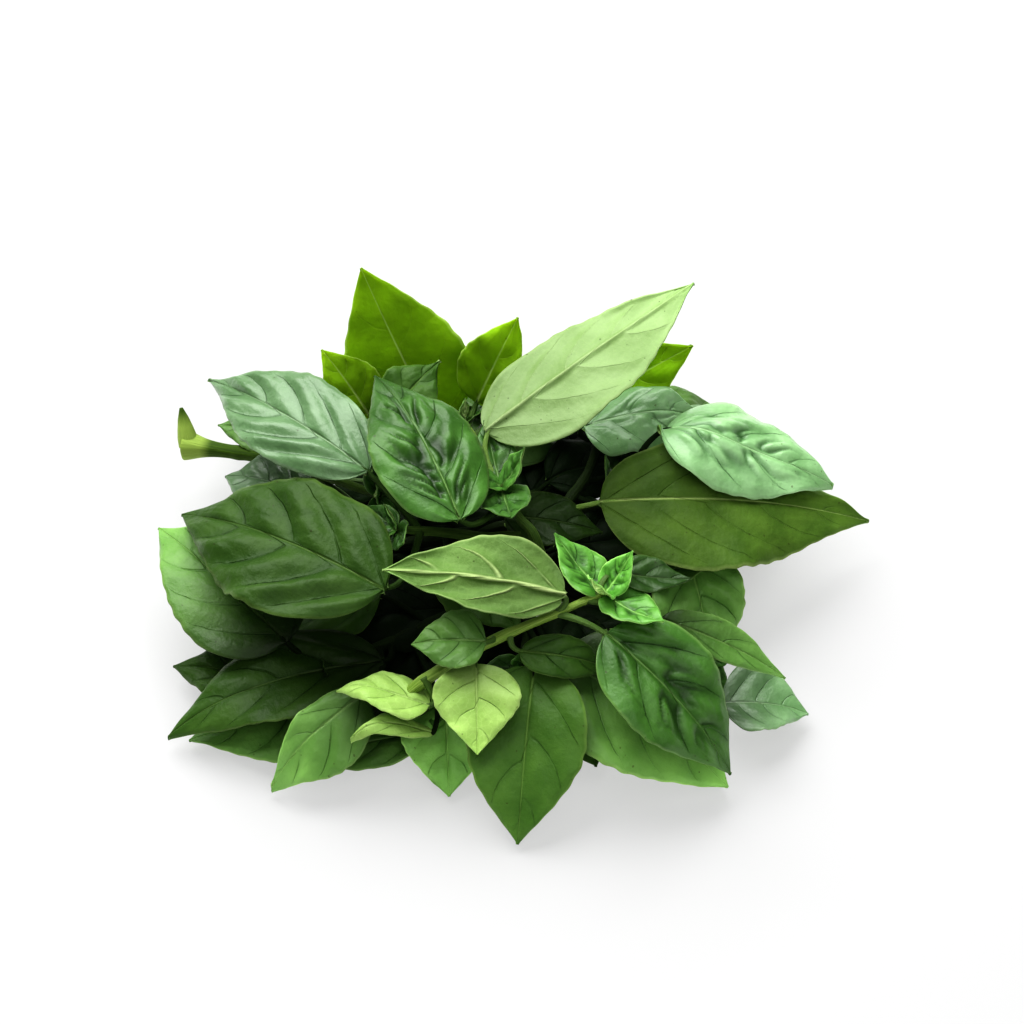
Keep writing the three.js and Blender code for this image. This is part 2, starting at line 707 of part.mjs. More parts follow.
const bunch = new THREE.Group();
const pile = emptyPile();
for (const sprig of SPRIGS) bunch.add(sprigMesh(sprig, pile));
bunch.position.set(-MIDDLE[0], -MIDDLE[1], 0);

export default bunch;
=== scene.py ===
"""A bunch of fresh basil: cut leafy sprigs heaped on their side on a pale surface.

The sprigs are laid one after another, the lowest first, by the same rule as the solids: what
would pass through the sprigs below is bent up until it lies over them. Each leaf then gets its
true outline, puckers, veins and thickness, and settles once more so that its finer form lies
clear as well. Lengths are in millimetres until a mesh is written.
"""

import logging
import math
from collections.abc import Callable
from dataclasses import dataclass, field
from enum import Enum

import bmesh
import bpy
import numpy as np
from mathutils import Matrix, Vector


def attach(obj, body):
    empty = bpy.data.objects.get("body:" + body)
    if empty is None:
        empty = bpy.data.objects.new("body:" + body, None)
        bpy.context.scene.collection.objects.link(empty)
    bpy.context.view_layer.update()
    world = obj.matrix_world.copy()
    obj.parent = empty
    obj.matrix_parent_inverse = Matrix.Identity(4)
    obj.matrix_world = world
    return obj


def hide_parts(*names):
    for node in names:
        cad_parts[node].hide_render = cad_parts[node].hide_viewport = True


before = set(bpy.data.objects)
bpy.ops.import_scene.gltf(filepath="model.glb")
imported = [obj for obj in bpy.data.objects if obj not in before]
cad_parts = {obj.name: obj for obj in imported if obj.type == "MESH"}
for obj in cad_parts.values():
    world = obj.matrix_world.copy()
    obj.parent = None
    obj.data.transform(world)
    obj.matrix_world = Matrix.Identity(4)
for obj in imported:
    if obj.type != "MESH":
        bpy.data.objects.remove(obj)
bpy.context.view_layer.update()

log = logging.getLogger("basil_bunch")

MM = 0.001
SEEDS_PER_SPRIG = 100
Point = tuple[float, float, float]
Colour = tuple[float, float, float]

# ---------- driving sizes, as in the solids ----------
BLADE_THICK = 0.7
CLEARANCE = 0.4
STALK_ROOT_R = 1.0
STALK_BLADE_R = 0.65
STALK_STOPS = 1.0
STALK_OUTWARD = 0.35
STALK_RUN_IN = 0.4
STEM_TIP_SHARE = 0.5
MIDDLE = np.array([0.69, -3.57, 0.0])

LEAF_ROWS = [0, 0.12, 0.32, 0.56, 0.79, 1]
LEAF_COLUMNS = [-1, -0.5, 0, 0.5, 1]
SMALL_ROWS = [0, 0.3, 0.65, 1]
YOUNG_ROWS = [0, 0.45, 1]
NARROW_COLUMNS = [-1, 0, 1]
SMALL_WIDTH = 17

OUTLINE_BASE = 0.5
OUTLINE_TIP = 0.9
OUTLINE_PEAK_AT = OUTLINE_BASE / (OUTLINE_BASE + OUTLINE_TIP)
OUTLINE_PEAK = OUTLINE_PEAK_AT**OUTLINE_BASE * (1 - OUTLINE_PEAK_AT) ** OUTLINE_TIP
BASE_WIDTH = 1.6
TIP_WIDTH = 0.7
CUP_POWER = 1.5

TUFT_LEAN = 0.35
TUFT_SET_BACK = 1.2
TUFT_PAIR_RISE = 0.6
STUB_RADII = [2.3, 1.4, 0.5]
STUB_ROOT_AT = 0.2
STUB_WAIST_AT = 0.45

# ---------- how the pile is kept and how a piece settles on it ----------
CELL = 1.0
FINE_CELL = 0.5
PILE_CORNER = (-130.37, -130.61)
PILE_WIDTH = 262.0
SURFACE_TOP = 0.05 - CLEARANCE
SETTLE_ROUNDS = 90
SETTLE_ENOUGH = 0.02
SETTLE_FACTOR = 1.1
TIE = 1e-9
STEM_STEPS = 10
STEM_KERNEL = 0.16
STALK_STEPS = 4
STALK_KERNEL = 0.25
STALK_FREEDOM = 6
STALK_SMOOTHINGS = 3
LINE_SAMPLES = 4
LAID_STEP = 0.6
SECTION_PLACES = (-1, -0.5, 0, 0.5, 1)
BLADE_KERNEL_ROWS = 1.3
BLADE_KERNEL_COLUMNS = 1.6
SAMPLES_ALONG = 5
SAMPLES_ACROSS = 3
STEEPEST = 3.0
LEVEL_LEAST = 1e-9
STALK_MEETS_ROW = 0.3
LONGEST_ROW = 1.6
FINE_GAP = 0.05
FINE_KERNEL = 6.5
FINE_ROUNDS = 120
FINE_ENOUGH = 0.04
FINE_SAMPLES = 3


class Look(Enum):
    """The kinds of leaf in the bunch, by what they look like on their upper side. Some looks carry
    painted light: the shaded look is painted shade for leaves deep in the bunch, the bright look
    is partly painted light shining through upright leaves at the back, and the bluish look is
    partly a painted sheen.
    """

    SHADED = "shaded"
    DEEP = "deep"
    GREEN = "green"
    BRIGHT = "bright"
    LIME = "lime"
    BLUISH = "bluish"
    FRESH = "fresh"
    PALE = "pale"
    OLIVE = "olive"


@dataclass(frozen=True)
class Leaf:
    """One leaf: where it lies and how it is posed.

    node is how far up the stem its stalk starts, base and tip are the blade's ends, roll turns
    it about its midrib in degrees, arch and bend bow the midrib up and to the left as shares of
    its length and cup lifts the edges as a share of the half width. crinkle is the height in
    millimetres of the pillows between side veins, lumps how deep cross veins cut into them, wave
    the height of the edge's waves, hem how far the edge rolls under and point how drawn out the
    tip is. spot is the place along and across the blade where the veins cut deepest, creases
    the depth of the short ones beside the midrib, and sides the share of its width that the
    blade keeps on either side. nudge moves its full form, in millimetres. tone makes
    the whole leaf lighter or darker than its look, partly the leaf's own lightness and partly
    painted light and shade for a leaf that lies in shade or in the light, and fade gives
    the shares of that at its base and tip, a painted ramp between a shaded end and a lit one. A
    leaf with a lit stalk has it in the light, painted in a lighter copy of the stalk colour, and
    a shade_filler leaf is a dark leaf put low in the bunch to stand for the shade there and
    isn't in the solids. face is the way that the upper side turns at a roll of 0.
    """

    node: float
    base: Point
    tip: Point
    width: float
    look: Look = Look.DEEP
    roll: float = 0.0
    arch: float = 0.07
    cup: float = 0.1
    bend: float = 0.0
    crinkle: float = 1.2
    lumps: float = 0.15
    wave: float = 0.8
    hem: float = 0.6
    point: float = 0.35
    spot: tuple[float, float] | None = None
    creases: float = 0.0
    sides: tuple[float, float] = (1.0, 1.0)
    nudge: Point = (0.0, 0.0, 0.0)
    tone: float = 1.0
    fade: tuple[float, float] = (1.0, 1.0)
    lit_stalk: bool = False
    shade_filler: bool = False
    face: Point = (0.0, 0.0, 1.0)


@dataclass(frozen=True)
class YoungPair:
    """A pair of young leaves in a tuft at a stem's tip."""

    length: float
    width: float
    open: float


@dataclass(frozen=True)
class Tuft:
    """The tuft of young leaves at a stem's tip.

    size is how large its leaves are beside TUFT_PAIRS, turn how far its pairs are turned about
    the stem in degrees and lean how far it turns up, as a share. tone makes it lighter
    or darker, as a leaf's does, partly as painted light and shade.
    """

    size: float
    turn: float
    lean: float = TUFT_LEAN
    tone: float = 1.0
    look: Look = Look.FRESH


@dataclass(frozen=True)
class CutNode:
    """A stem's flared end, cut at a pair of leaves, with the stub of one leaf's stalk.

    flare is how many times its own width it has in the solids, and swell in its full form.
    stub is where the stub ends.
    """

    flare: float
    swell: float
    stub: Point


YOUNGER_TONE = 1.4
TUFT_PAIRS = (YoungPair(17, 11, 70), YoungPair(11, 7.5, 34))


def unit(vector: np.ndarray) -> np.ndarray:
    """The vector at length one."""
    return vector / np.linalg.norm(vector)


def turned(vector: np.ndarray, axis: np.ndarray, degrees: float) -> np.ndarray:
    """Turns a vector about an axis of length one.

    Args:
        vector: What is turned.
        axis: The axis, by the right-hand rule.
        degrees: How far.

    Returns:
        The turned vector.
    """
    angle = math.radians(degrees)
    across = np.cross(axis, vector)
    along = axis * np.dot(axis, vector)
    return along + (vector - along) * math.cos(angle) + across * math.sin(angle)


def spline(points: np.ndarray, samples: np.ndarray) -> np.ndarray:
    """A Catmull-Rom curve through points.

    Args:
        points: The points, in order.
        samples: Where along the curve, from 0 to 1.

    Returns:
        One point for each sample.
    """
    ends = (2 * points[0] - points[1], 2 * points[-1] - points[-2])
    padded = np.vstack([ends[0], points, ends[1]])
    place = samples * (len(points) - 1)
    cell = np.minimum(np.floor(place).astype(int), len(points) - 2)
    f = (place - cell)[:, None]
    p0, p1, p2, p3 = (padded[cell + k] for k in range(4))
    t1 = 0.5 * (p2 - p0)
    t2 = 0.5 * (p3 - p1)
    c2 = -3 * p1 + 3 * p2 - 2 * t1 - t2
    c3 = 2 * p1 - 2 * p2 + t1 + t2
    return p1 + t1 * f + c2 * f**2 + c3 * f**3


def smooth_step(x: np.ndarray, low: float, high: float) -> np.ndarray:
    """Rises smoothly from 0 at low to 1 at high."""
    f = np.clip((x - low) / (high - low), 0, 1)
    return f * f * (3 - 2 * f)


@dataclass
class Pile:
    """The heights of what has been laid so far, in square cells seen from above."""

    cell: float
    floor: float
    heights: np.ndarray = field(init=False)

    def __post_init__(self) -> None:
        """Starts with the bare surface."""
        side = round(PILE_WIDTH / self.cell)
        self.heights = np.full((side, side), self.floor)

    def copy(self) -> "Pile":
        """A pile of the same heights that is kept apart from this one.

        Returns:
            The new pile.
        """
        twin = Pile(self.cell, self.floor)
        twin.heights = self.heights.copy()
        return twin

    def cells(self, x: np.ndarray, y: np.ndarray) -> tuple[np.ndarray, np.ndarray]:
        """The columns and rows of the cells that hold these places.

        Args:
            x: Places along X.
            y: Places along Y.

        Returns:
            The columns, then the rows.
        """
        column = np.floor((x - PILE_CORNER[0]) / self.cell).astype(int)
        row = np.floor((y - PILE_CORNER[1]) / self.cell).astype(int)
        return column, row

    def top(self, x: np.ndarray, y: np.ndarray, reach: int) -> np.ndarray:
        """The highest thing near each place.

        Args:
            x: Places along X.
            y: Places along Y.
            reach: How many cells to each side count as near.

        Returns:
            A height for each place.
        """
        column, row = self.cells(x, y)
        top = np.full(len(column), self.floor)
        for down in range(-reach, reach + 1):
            for over in range(-reach, reach + 1):
                top = np.maximum(top, self.heights[row + down, column + over])
        return top

    def lift(self, x: np.ndarray, y: np.ndarray, z: np.ndarray) -> None:
        """Raises the pile to z wherever it is lower."""
        column, row = self.cells(x, y)
        np.maximum.at(self.heights, (row, column), z)


@dataclass
class Line:
    """The middle of a stem or stalk as points, with its half width at each."""

    points: np.ndarray
    radii: np.ndarray

    def settle(self, pile: Pile, kernel: float, hold: Callable[[np.ndarray], np.ndarray]) -> None:
        """Bends the line up until it is clear of the pile.

        Args:
            pile: What lies below.
            kernel: How far along it a push spreads, as a share of its length.
            hold: Says how free each place along it is, from 0 to 1.
        """
        last = len(self.points) - 1
        place = np.arange(last * LINE_SAMPLES + 1) / LINE_SAMPLES
        cell = np.minimum(last - 1, np.floor(place).astype(int))
        f = place - cell
        r = self.radii[cell] * (1 - f) + self.radii[cell + 1] * f
        x, y = (self.points[cell, k] * (1 - f) + self.points[cell + 1, k] * f for k in (0, 1))
        reach = np.ceil(r).astype(int)
        top = np.zeros(len(place))
        for cells in np.unique(reach):
            near = reach == cells
            top[near] = pile.top(x[near], y[near], int(cells))
        free = hold(place / last)
        rows = np.arange(last + 1) / last
        for _ in range(SETTLE_ROUNDS):
            z = self.points[cell, 2] * (1 - f) + self.points[cell + 1, 2] * f
            lack = (top + CLEARANCE + r - z) * free
            worst = lack.max()
            if worst <= SETTLE_ENOUGH + TIE:
                return
            at = place[np.argmax(lack > worst - TIE)] / last
            push = np.exp(-0.5 * ((rows - at) / kernel) ** 2) * hold(rows)
            self.points[:, 2] += worst * SETTLE_FACTOR * push

    def lay_on(self, pile: Pile) -> None:
        """Adds the line to the pile.

        Args:
            pile: What the line then lies on top of.
        """
        for a, b, ra, rb in zip(self.points, self.points[1:], self.radii, self.radii[1:]):
            steps = math.ceil(np.linalg.norm(b - a) / (LAID_STEP * pile.cell))
            f = np.arange(steps + 1)[:, None] / steps
            p = a + (b - a) * f
            r = ra + (rb - ra) * f[:, 0]
            for over in SECTION_PLACES:
                for down in SECTION_PLACES:
                    pile.lift(p[:, 0] + over * r, p[:, 1] + down * r, p[:, 2] + r)


@dataclass
class Blade:
    """A leaf's blade as it is laid: first its few bending rows, then its full form."""

    leaf: Leaf
    rows: list[float]
    columns: list[float]
    seed: int
    grid: np.ndarray = field(init=False)
    pushes: list[tuple[float, float, float]] = field(init=False, default_factory=list)

    def __post_init__(self) -> None:
        """Works out the blade's own directions and its first, free form."""
        self.base = np.array(self.leaf.base, float)
        self.chord = np.array(self.leaf.tip, float) - self.base
        self.length = float(np.linalg.norm(self.chord))
        along = unit(self.chord)
        level = unit(np.cross(np.array(self.leaf.face, float), along))
        self.side = turned(level, along, self.leaf.roll)
        self.up = np.cross(along, self.side)
        self.random = np.random.default_rng(self.seed)
        self.shape = BladeShape.draw(self.length, self.random)
        s, t = np.meshgrid(self.rows, self.columns, indexing="ij")
        self.grid = self.free_form(s, t)

    def half_width(self, s: np.ndarray) -> np.ndarray:
        """Half the blade's width at s, from 0 at its base to 1 at its tip.

        Args:
            s: Places along the blade.

        Returns:
            A half width for each place.
        """
        outline = s**OUTLINE_BASE * (1 - s) ** OUTLINE_TIP
        ends = BASE_WIDTH + (TIP_WIDTH - BASE_WIDTH) * s
        return np.maximum(self.leaf.width * outline / OUTLINE_PEAK, ends) / 2

    def free_form(self, s: np.ndarray, t: np.ndarray) -> np.ndarray:
        """The blade's plain middle surface before it is bent clear.

        Args:
            s: Places along it, from 0 to 1.
            t: Places across it, from -1 to 1.

        Returns:
            A point for each place.
        """
        hump = 4 * s * (1 - s)
        half = self.half_width(s)
        rise = self.leaf.arch * self.length * hump + self.leaf.cup * half * abs(t) ** CUP_POWER
        aside = self.leaf.bend * self.length * hump + half * t
        return (
            self.base
            + self.chord * s[..., None]
            + self.up * rise[..., None]
            + self.side * aside[..., None]
        )

    def settle(self, pile: Pile) -> None:
        """Bends the rows up until the blade is clear of the pile, and keeps each push.

        Args:
            pile: What lies below.
        """
        patches = Patches(self.grid, SAMPLES_ALONG, SAMPLES_ACROSS)
        x, y = patches.sample(self.grid[..., 0]), patches.sample(self.grid[..., 1])
        top = pile.top(x, y, 1)
        middle = (len(self.columns) - 1) / 2
        at_stalk = (patches.row < STALK_MEETS_ROW) & (abs(patches.column - middle) < 1)
        half = np.where(at_stalk, STALK_BLADE_R, BLADE_THICK / 2)
        i, j = np.meshgrid(range(len(self.rows)), range(len(self.columns)), indexing="ij")
        for _ in range(SETTLE_ROUNDS):
            slope = patches.slopes(self.grid)
            lack = top + CLEARANCE + half * slope - patches.sample(self.grid[..., 2])
            worst = lack.max()
            if worst <= SETTLE_ENOUGH + TIE:
                return
            k = int(np.argmax(lack > worst - TIE))
            push = (patches.row[k], patches.column[k], worst * SETTLE_FACTOR)
            self.pushes.append(push)
            self.grid[..., 2] += self.pushed(i, j, [push])

    @staticmethod
    def pushed(
        row: np.ndarray, column: np.ndarray, pushes: list[tuple[float, float, float]]
    ) -> np.ndarray:
        """How far pushes lift places given by row and column.

        Args:
            row: Rows, which may lie between the blade's own.
            column: Columns, likewise.
            pushes: Each one's row, column and height.

        Returns:
            A lift for each place.
        """
        lift = np.zeros(np.shape(row))
        for at_row, at_column, height in pushes:
            a = (row - at_row) / BLADE_KERNEL_ROWS
            b = (column - at_column) / BLADE_KERNEL_COLUMNS
            lift += height * np.exp(-0.5 * (a * a + b * b))
        return lift

    def lay_on(self, pile: Pile) -> None:
        """Adds the plain blade to the pile.

        Args:
            pile: What the blade then lies on top of.
        """
        row_length = np.linalg.norm(self.grid[0, 0] - self.grid[-1, 0]) / (len(self.rows) - 1)
        widest = np.linalg.norm(self.grid[:, 0] - self.grid[:, -1], axis=1).max()
        step = LAID_STEP * CELL
        along = math.ceil(LONGEST_ROW * row_length / step)
        across = math.ceil(widest / (len(self.columns) - 1) / step)
        patches = Patches(self.grid, along, across)
        x, y, z = (patches.sample(self.grid[..., k]) for k in range(3))
        pile.lift(x, y, z + BLADE_THICK / 2 * patches.slopes(self.grid))

    def plain_form(self, s: np.ndarray, t: np.ndarray) -> np.ndarray:
        """The bent blade as a smooth surface, through the settled rows.

        Args:
            s: Places along it, from 0 to 1.
            t: Places across it, from -1 to 1.

        Returns:
            A point for each place.
        """
        row = np.polyval(np.polyfit(self.rows, range(len(self.rows)), len(self.rows) - 1), s)
        column = (t + 1) / 2 * (len(self.columns) - 1)
        form = self.free_form(s, t)
        form[..., 2] += self.pushed(row, column, self.pushes)
        return form

    def root_way(self) -> np.ndarray:
        """The way in which the midrib leaves the base."""
        middle = (len(self.columns) - 1) // 2
        return unit(self.grid[1, middle] - self.grid[0, middle])

    def root_point(self) -> np.ndarray:
        """Where the blade starts."""
        return self.grid[0, (len(self.columns) - 1) // 2]


class Patches:
    """Samples in each four-cornered patch of a blade's rows and columns."""

    def __init__(self, grid: np.ndarray, along: int, across: int) -> None:
        """Works out where the samples lie.

        Args:
            grid: The blade's points by row and column.
            along: Steps along each patch.
            across: Steps across it.
        """
        i, j, u, v = np.meshgrid(
            range(grid.shape[0] - 1),
            range(grid.shape[1] - 1),
            np.arange(along + 1) / along,
            np.arange(across + 1) / across,
            indexing="ij",
        )
        self.i, self.j, self.u, self.v = i.ravel(), j.ravel(), u.ravel(), v.ravel()
        self.row = self.i + self.u
        self.column = self.j + self.v

    def sample(self, values: np.ndarray) -> np.ndarray:
        """A value at each sample from the values at the rows and columns.

        Args:
            values: A value for each row and column.

        Returns:
            A value for each sample.
        """
        i, j, u, v = self.i, self.j, self.u, self.v
        left = values[i, j] * (1 - u) + values[i + 1, j] * u
        right = values[i, j + 1] * (1 - u) + values[i + 1, j + 1] * u
        return left * (1 - v) + right * v

    def slopes(self, grid: np.ndarray) -> np.ndarray:
        """How many times its own thickness each sample's patch is thick upright."""
        a, b, c, d = grid[:-1, :-1], grid[:-1, 1:], grid[1:, :-1], grid[1:, 1:]
        return upright_share(np.cross((b + d) / 2 - a, (c + d) / 2 - a))[self.i, self.j]


def upright_share(normals: np.ndarray) -> np.ndarray:
    """A sheet's upright thickness, in thicknesses, for normals of any length.

    Args:
        normals: The sheet's normals.

    Returns:
        A share for each normal.
    """
    flat = np.hypot(normals[..., 0], normals[..., 1])
    level = np.maximum(abs(normals[..., 2]), LEVEL_LEAST)
    return np.minimum(STEEPEST, np.hypot(1, flat / level))


@dataclass(frozen=True)
class BladeShape:
    """What makes one leaf's fine form its own: its side veins, pillows and waves."""

    veins: float
    sweep: float
    shift: float
    pillows: np.ndarray
    cross: np.ndarray
    starts: np.ndarray
    curl: float
    skew: float
    twist: float
    spot: tuple[float, float]
    lattice: np.ndarray

    # side veins, with a strip of flesh between each two
    STRIPS = 16
    FIRST_STRIP = 4
    VEIN_SPACING = 15.5
    FEWEST_VEINS = 3
    MOST_VEINS = 5
    SWEEP_POWER = 1.5
    SWEPT_UNTIL = 4
    BASAL = 0.5
    TIPWARD = 0.2
    STAGGERED = (0.0, 0.05)

    # the pillows between them, cut by cross veins
    LEANING = 1.2
    ROUNDED = 0.55
    DOMED = 0.45
    CROSS_VEINS = 4.2
    CROSS_SWAY = 0.12
    CROSS_SHARPNESS = 2.5
    RIB_VALLEY = 0.32
    EDGE_FALL = 0.7
    EDGE_FALLS = (0.65, 1.0)
    TIP_FALL = 0.85
    TIP_FALLS = (0.72, 1.0)
    BASE_RISES = (-0.06, 0.1)

    # the spot where they stand out most
    QUIET = 0.5
    SPOT_LENGTH = 0.34
    SPOT_WIDTH = 0.8

    # short creases beside the midrib
    LATTICE = (2, 24, 6)
    LATTICE_START = 6
    CREASES_ALONG = 3.6
    CREASES_ACROSS = 2.6
    CREASE_WIDTH = 0.26
    CREASED_FROM_RIB = (0.0, 0.12)
    CREASED_TO_EDGE = (0.3, 0.8)
    CREASED_FROM_BASE = (0.02, 0.15)
    CREASED_TO_TIP = (0.6, 0.9)

    # the edge's waves up and down
    SLOW_WAVES = 1.6
    QUICK_WAVES = 3.4
    QUICK_SHARE = 0.6
    WAVE_POWER = 2.5
    WAVED_FROM_BASE = (0.0, 0.2)
    WAVED_TO_TIP = (0.85, 1.0)
    TWISTED_ABOUT = 0.4

    # the outline's waves and teeth
    MARGIN_WAVES = 1.3
    MARGIN_WAVE = 0.025
    TOOTH = 0.014
    TEETH_TO_A_VEIN = 3
    TOOTHED_FROM = (0.2, 0.5)
    UNEVEN_FROM_BASE = (0.0, 0.15)
    UNEVEN_TO_TIP = (0.9, 1.0)

    @staticmethod
    def draw(length: float, random: np.random.Generator) -> "BladeShape":
        """Draws a leaf's own shape.

        Args:
            length: Its blade's length.
            random: Where the draws come from.

        Returns:
            The shape.
        """
        strips = (2, BladeShape.STRIPS)
        spaced = length / BladeShape.VEIN_SPACING
        veins = float(np.clip(spaced, BladeShape.FEWEST_VEINS, BladeShape.MOST_VEINS))
        return BladeShape(
            veins=veins + random.uniform(-0.3, 0.3),
            sweep=random.uniform(0.36, 0.44),
            shift=random.uniform(0.1, 0.5),
            pillows=random.uniform(0.65, 1.25, strips),
            cross=random.uniform(0, 1, strips),
            starts=random.uniform(0, 1, (2, 4)),
            curl=random.uniform(0.2, 1.0),
            skew=random.uniform(-0.04, 0.04),
            twist=random.uniform(-1.0, 1.0),
            spot=(random.uniform(0.2, 0.6), random.uniform(-0.7, 0.7)),
            lattice=random.uniform(-1, 1, BladeShape.LATTICE),
        )

    def phase(self, s: np.ndarray, t: np.ndarray) -> np.ndarray:
        """Counts side veins along the blade: it is a whole number on each side vein.

        Args:
            s: Places along the blade.
            t: Places across it.

        Returns:
            A count for each place.
        """
        start = s - self.sweep * abs(t) ** self.SWEEP_POWER * (1 - s**self.SWEPT_UNTIL)
        tipward = start * (1 + self.TIPWARD - self.TIPWARD * start)
        start = np.where(start < 0, start * self.BASAL, tipward)
        aside = self.shift * np.sign(t) * smooth_step(abs(t), *self.STAGGERED)
        return self.veins * start + aside + 0.5

    def pillow(self, s: np.ndarray, t: np.ndarray, lumps: float) -> np.ndarray:
        """How far the flesh stands above its veins, as a share of the leaf's crinkle.

        Args:
            s: Places along the blade.
            t: Places across it.
            lumps: How deep the cross veins cut.

        Returns:
            A share for each place.
        """
        phase = self.phase(s, t)
        strip = np.clip(np.floor(phase).astype(int) + self.FIRST_STRIP, 0, self.STRIPS - 1)
        half = (t > 0).astype(int)
        u = 2 * (phase - np.floor(phase)) ** self.LEANING - 1
        between = self.ROUNDED * (1 - u * u) + self.DOMED * np.cos(math.pi * u / 2) ** 2
        bend = self.CROSS_SWAY * np.sin(2 * math.pi * (phase + self.cross[half, strip]))
        cell = abs(t) * self.CROSS_VEINS + self.cross[half, strip] + bend
        cut = abs(2 * (cell - np.floor(cell)) - 1) ** self.CROSS_SHARPNESS
        height = self.pillows[half, strip] * between * (1 - lumps * cut)
        from_rib = 1 - (1 - np.minimum(abs(t) / self.RIB_VALLEY, 1)) ** 2
        to_edge = 1 - self.EDGE_FALL * smooth_step(abs(t), *self.EDGE_FALLS)
        to_tip = 1 - self.TIP_FALL * smooth_step(s, *self.TIP_FALLS)
        return height * from_rib * to_edge * to_tip * smooth_step(s, *self.BASE_RISES)

    def life(self, s: np.ndarray, t: np.ndarray, spot: tuple[float, float]) -> np.ndarray:
        """How strongly the veins cut in: fully round one spot, and less away from it.

        Args:
            s: Places along the blade.
            t: Places across it.
            spot: The spot, along and across.

        Returns:
            A share for each place.
        """
        along, across = (s - spot[0]) / self.SPOT_LENGTH, (t - spot[1]) / self.SPOT_WIDTH
        away = along**2 + across**2
        return self.QUIET + (1 - self.QUIET) * np.exp(-away)

    def crumple(self, s: np.ndarray, t: np.ndarray) -> tuple[np.ndarray, np.ndarray]:
        """Short creases that wander beside the midrib, as on a crumpled leaf.

        Args:
            s: Places along the blade.
            t: Places across it.

        Returns:
            Their height as a share of the leaf's creases, below zero in a crease, and a mask
            that is 1 in the middle of a crease.
        """
        half = (t > 0).astype(int)
        x = self.phase(s, t) * self.CREASES_ALONG + self.LATTICE_START
        x = np.clip(x, 0, self.LATTICE[1] - 1.01)
        y = abs(t) * self.CREASES_ACROSS
        i, j = np.floor(x).astype(int), np.floor(y).astype(int)
        u, v = smooth_step(x - i, 0.0, 1.0), smooth_step(y - j, 0.0, 1.0)
        near = self.lattice[half, i, j] * (1 - u) + self.lattice[half, i + 1, j] * u
        far = self.lattice[half, i, j + 1] * (1 - u) + self.lattice[half, i + 1, j + 1] * u
        value = near * (1 - v) + far * v
        inside = smooth_step(abs(t), *self.CREASED_FROM_RIB)
        inside = inside * (1 - smooth_step(abs(t), *self.CREASED_TO_EDGE))
        ends = smooth_step(s, *self.CREASED_FROM_BASE) * (1 - smooth_step(s, *self.CREASED_TO_TIP))
        inside *= ends
        crease = np.exp(-((value / self.CREASE_WIDTH) ** 2)) * inside
        return abs(value) * inside - crease, crease

    def edge_wave(self, s: np.ndarray, t: np.ndarray) -> np.ndarray:
        """How far the blade waves up and down towards its edges, as a share of its wave.

        Args:
            s: Places along the blade.
            t: Places across it.

        Returns:
            A share for each place.
        """
        start = self.starts[(t > 0).astype(int)]
        slow = np.sin(2 * math.pi * (self.SLOW_WAVES * s + start[..., 0]))
        quick = np.sin(2 * math.pi * (self.QUICK_WAVES * s + start[..., 1]))
        ends = smooth_step(s, *self.WAVED_FROM_BASE) * (1 - smooth_step(s, *self.WAVED_TO_TIP))
        waves = (slow + self.QUICK_SHARE * quick) * abs(t) ** self.WAVE_POWER * ends
        return waves + self.twist * t * (s - self.TWISTED_ABOUT)

    def margin(self, s: np.ndarray, t: np.ndarray, half: np.ndarray) -> np.ndarray:
        """How far the outline stands in or out, with its shallow teeth.

        Args:
            s: Places along the blade.
            t: Places across it.
            half: The blade's half width at each place.

        Returns:
            A distance across the blade for each place.
        """
        start = self.starts[(t > 0).astype(int)][..., 2]
        slow = self.MARGIN_WAVE * np.sin(2 * math.pi * (self.MARGIN_WAVES * s + start))
        turns = self.veins * self.TEETH_TO_A_VEIN * s + start
        teeth = self.TOOTH * np.sin(2 * math.pi * turns) * smooth_step(s, *self.TOOTHED_FROM)
        ends = smooth_step(s, *self.UNEVEN_FROM_BASE) * (1 - smooth_step(s, *self.UNEVEN_TO_TIP))
        return half * t * (slow + teeth * abs(t) + self.skew * np.sign(t) * (1 - abs(t))) * ends


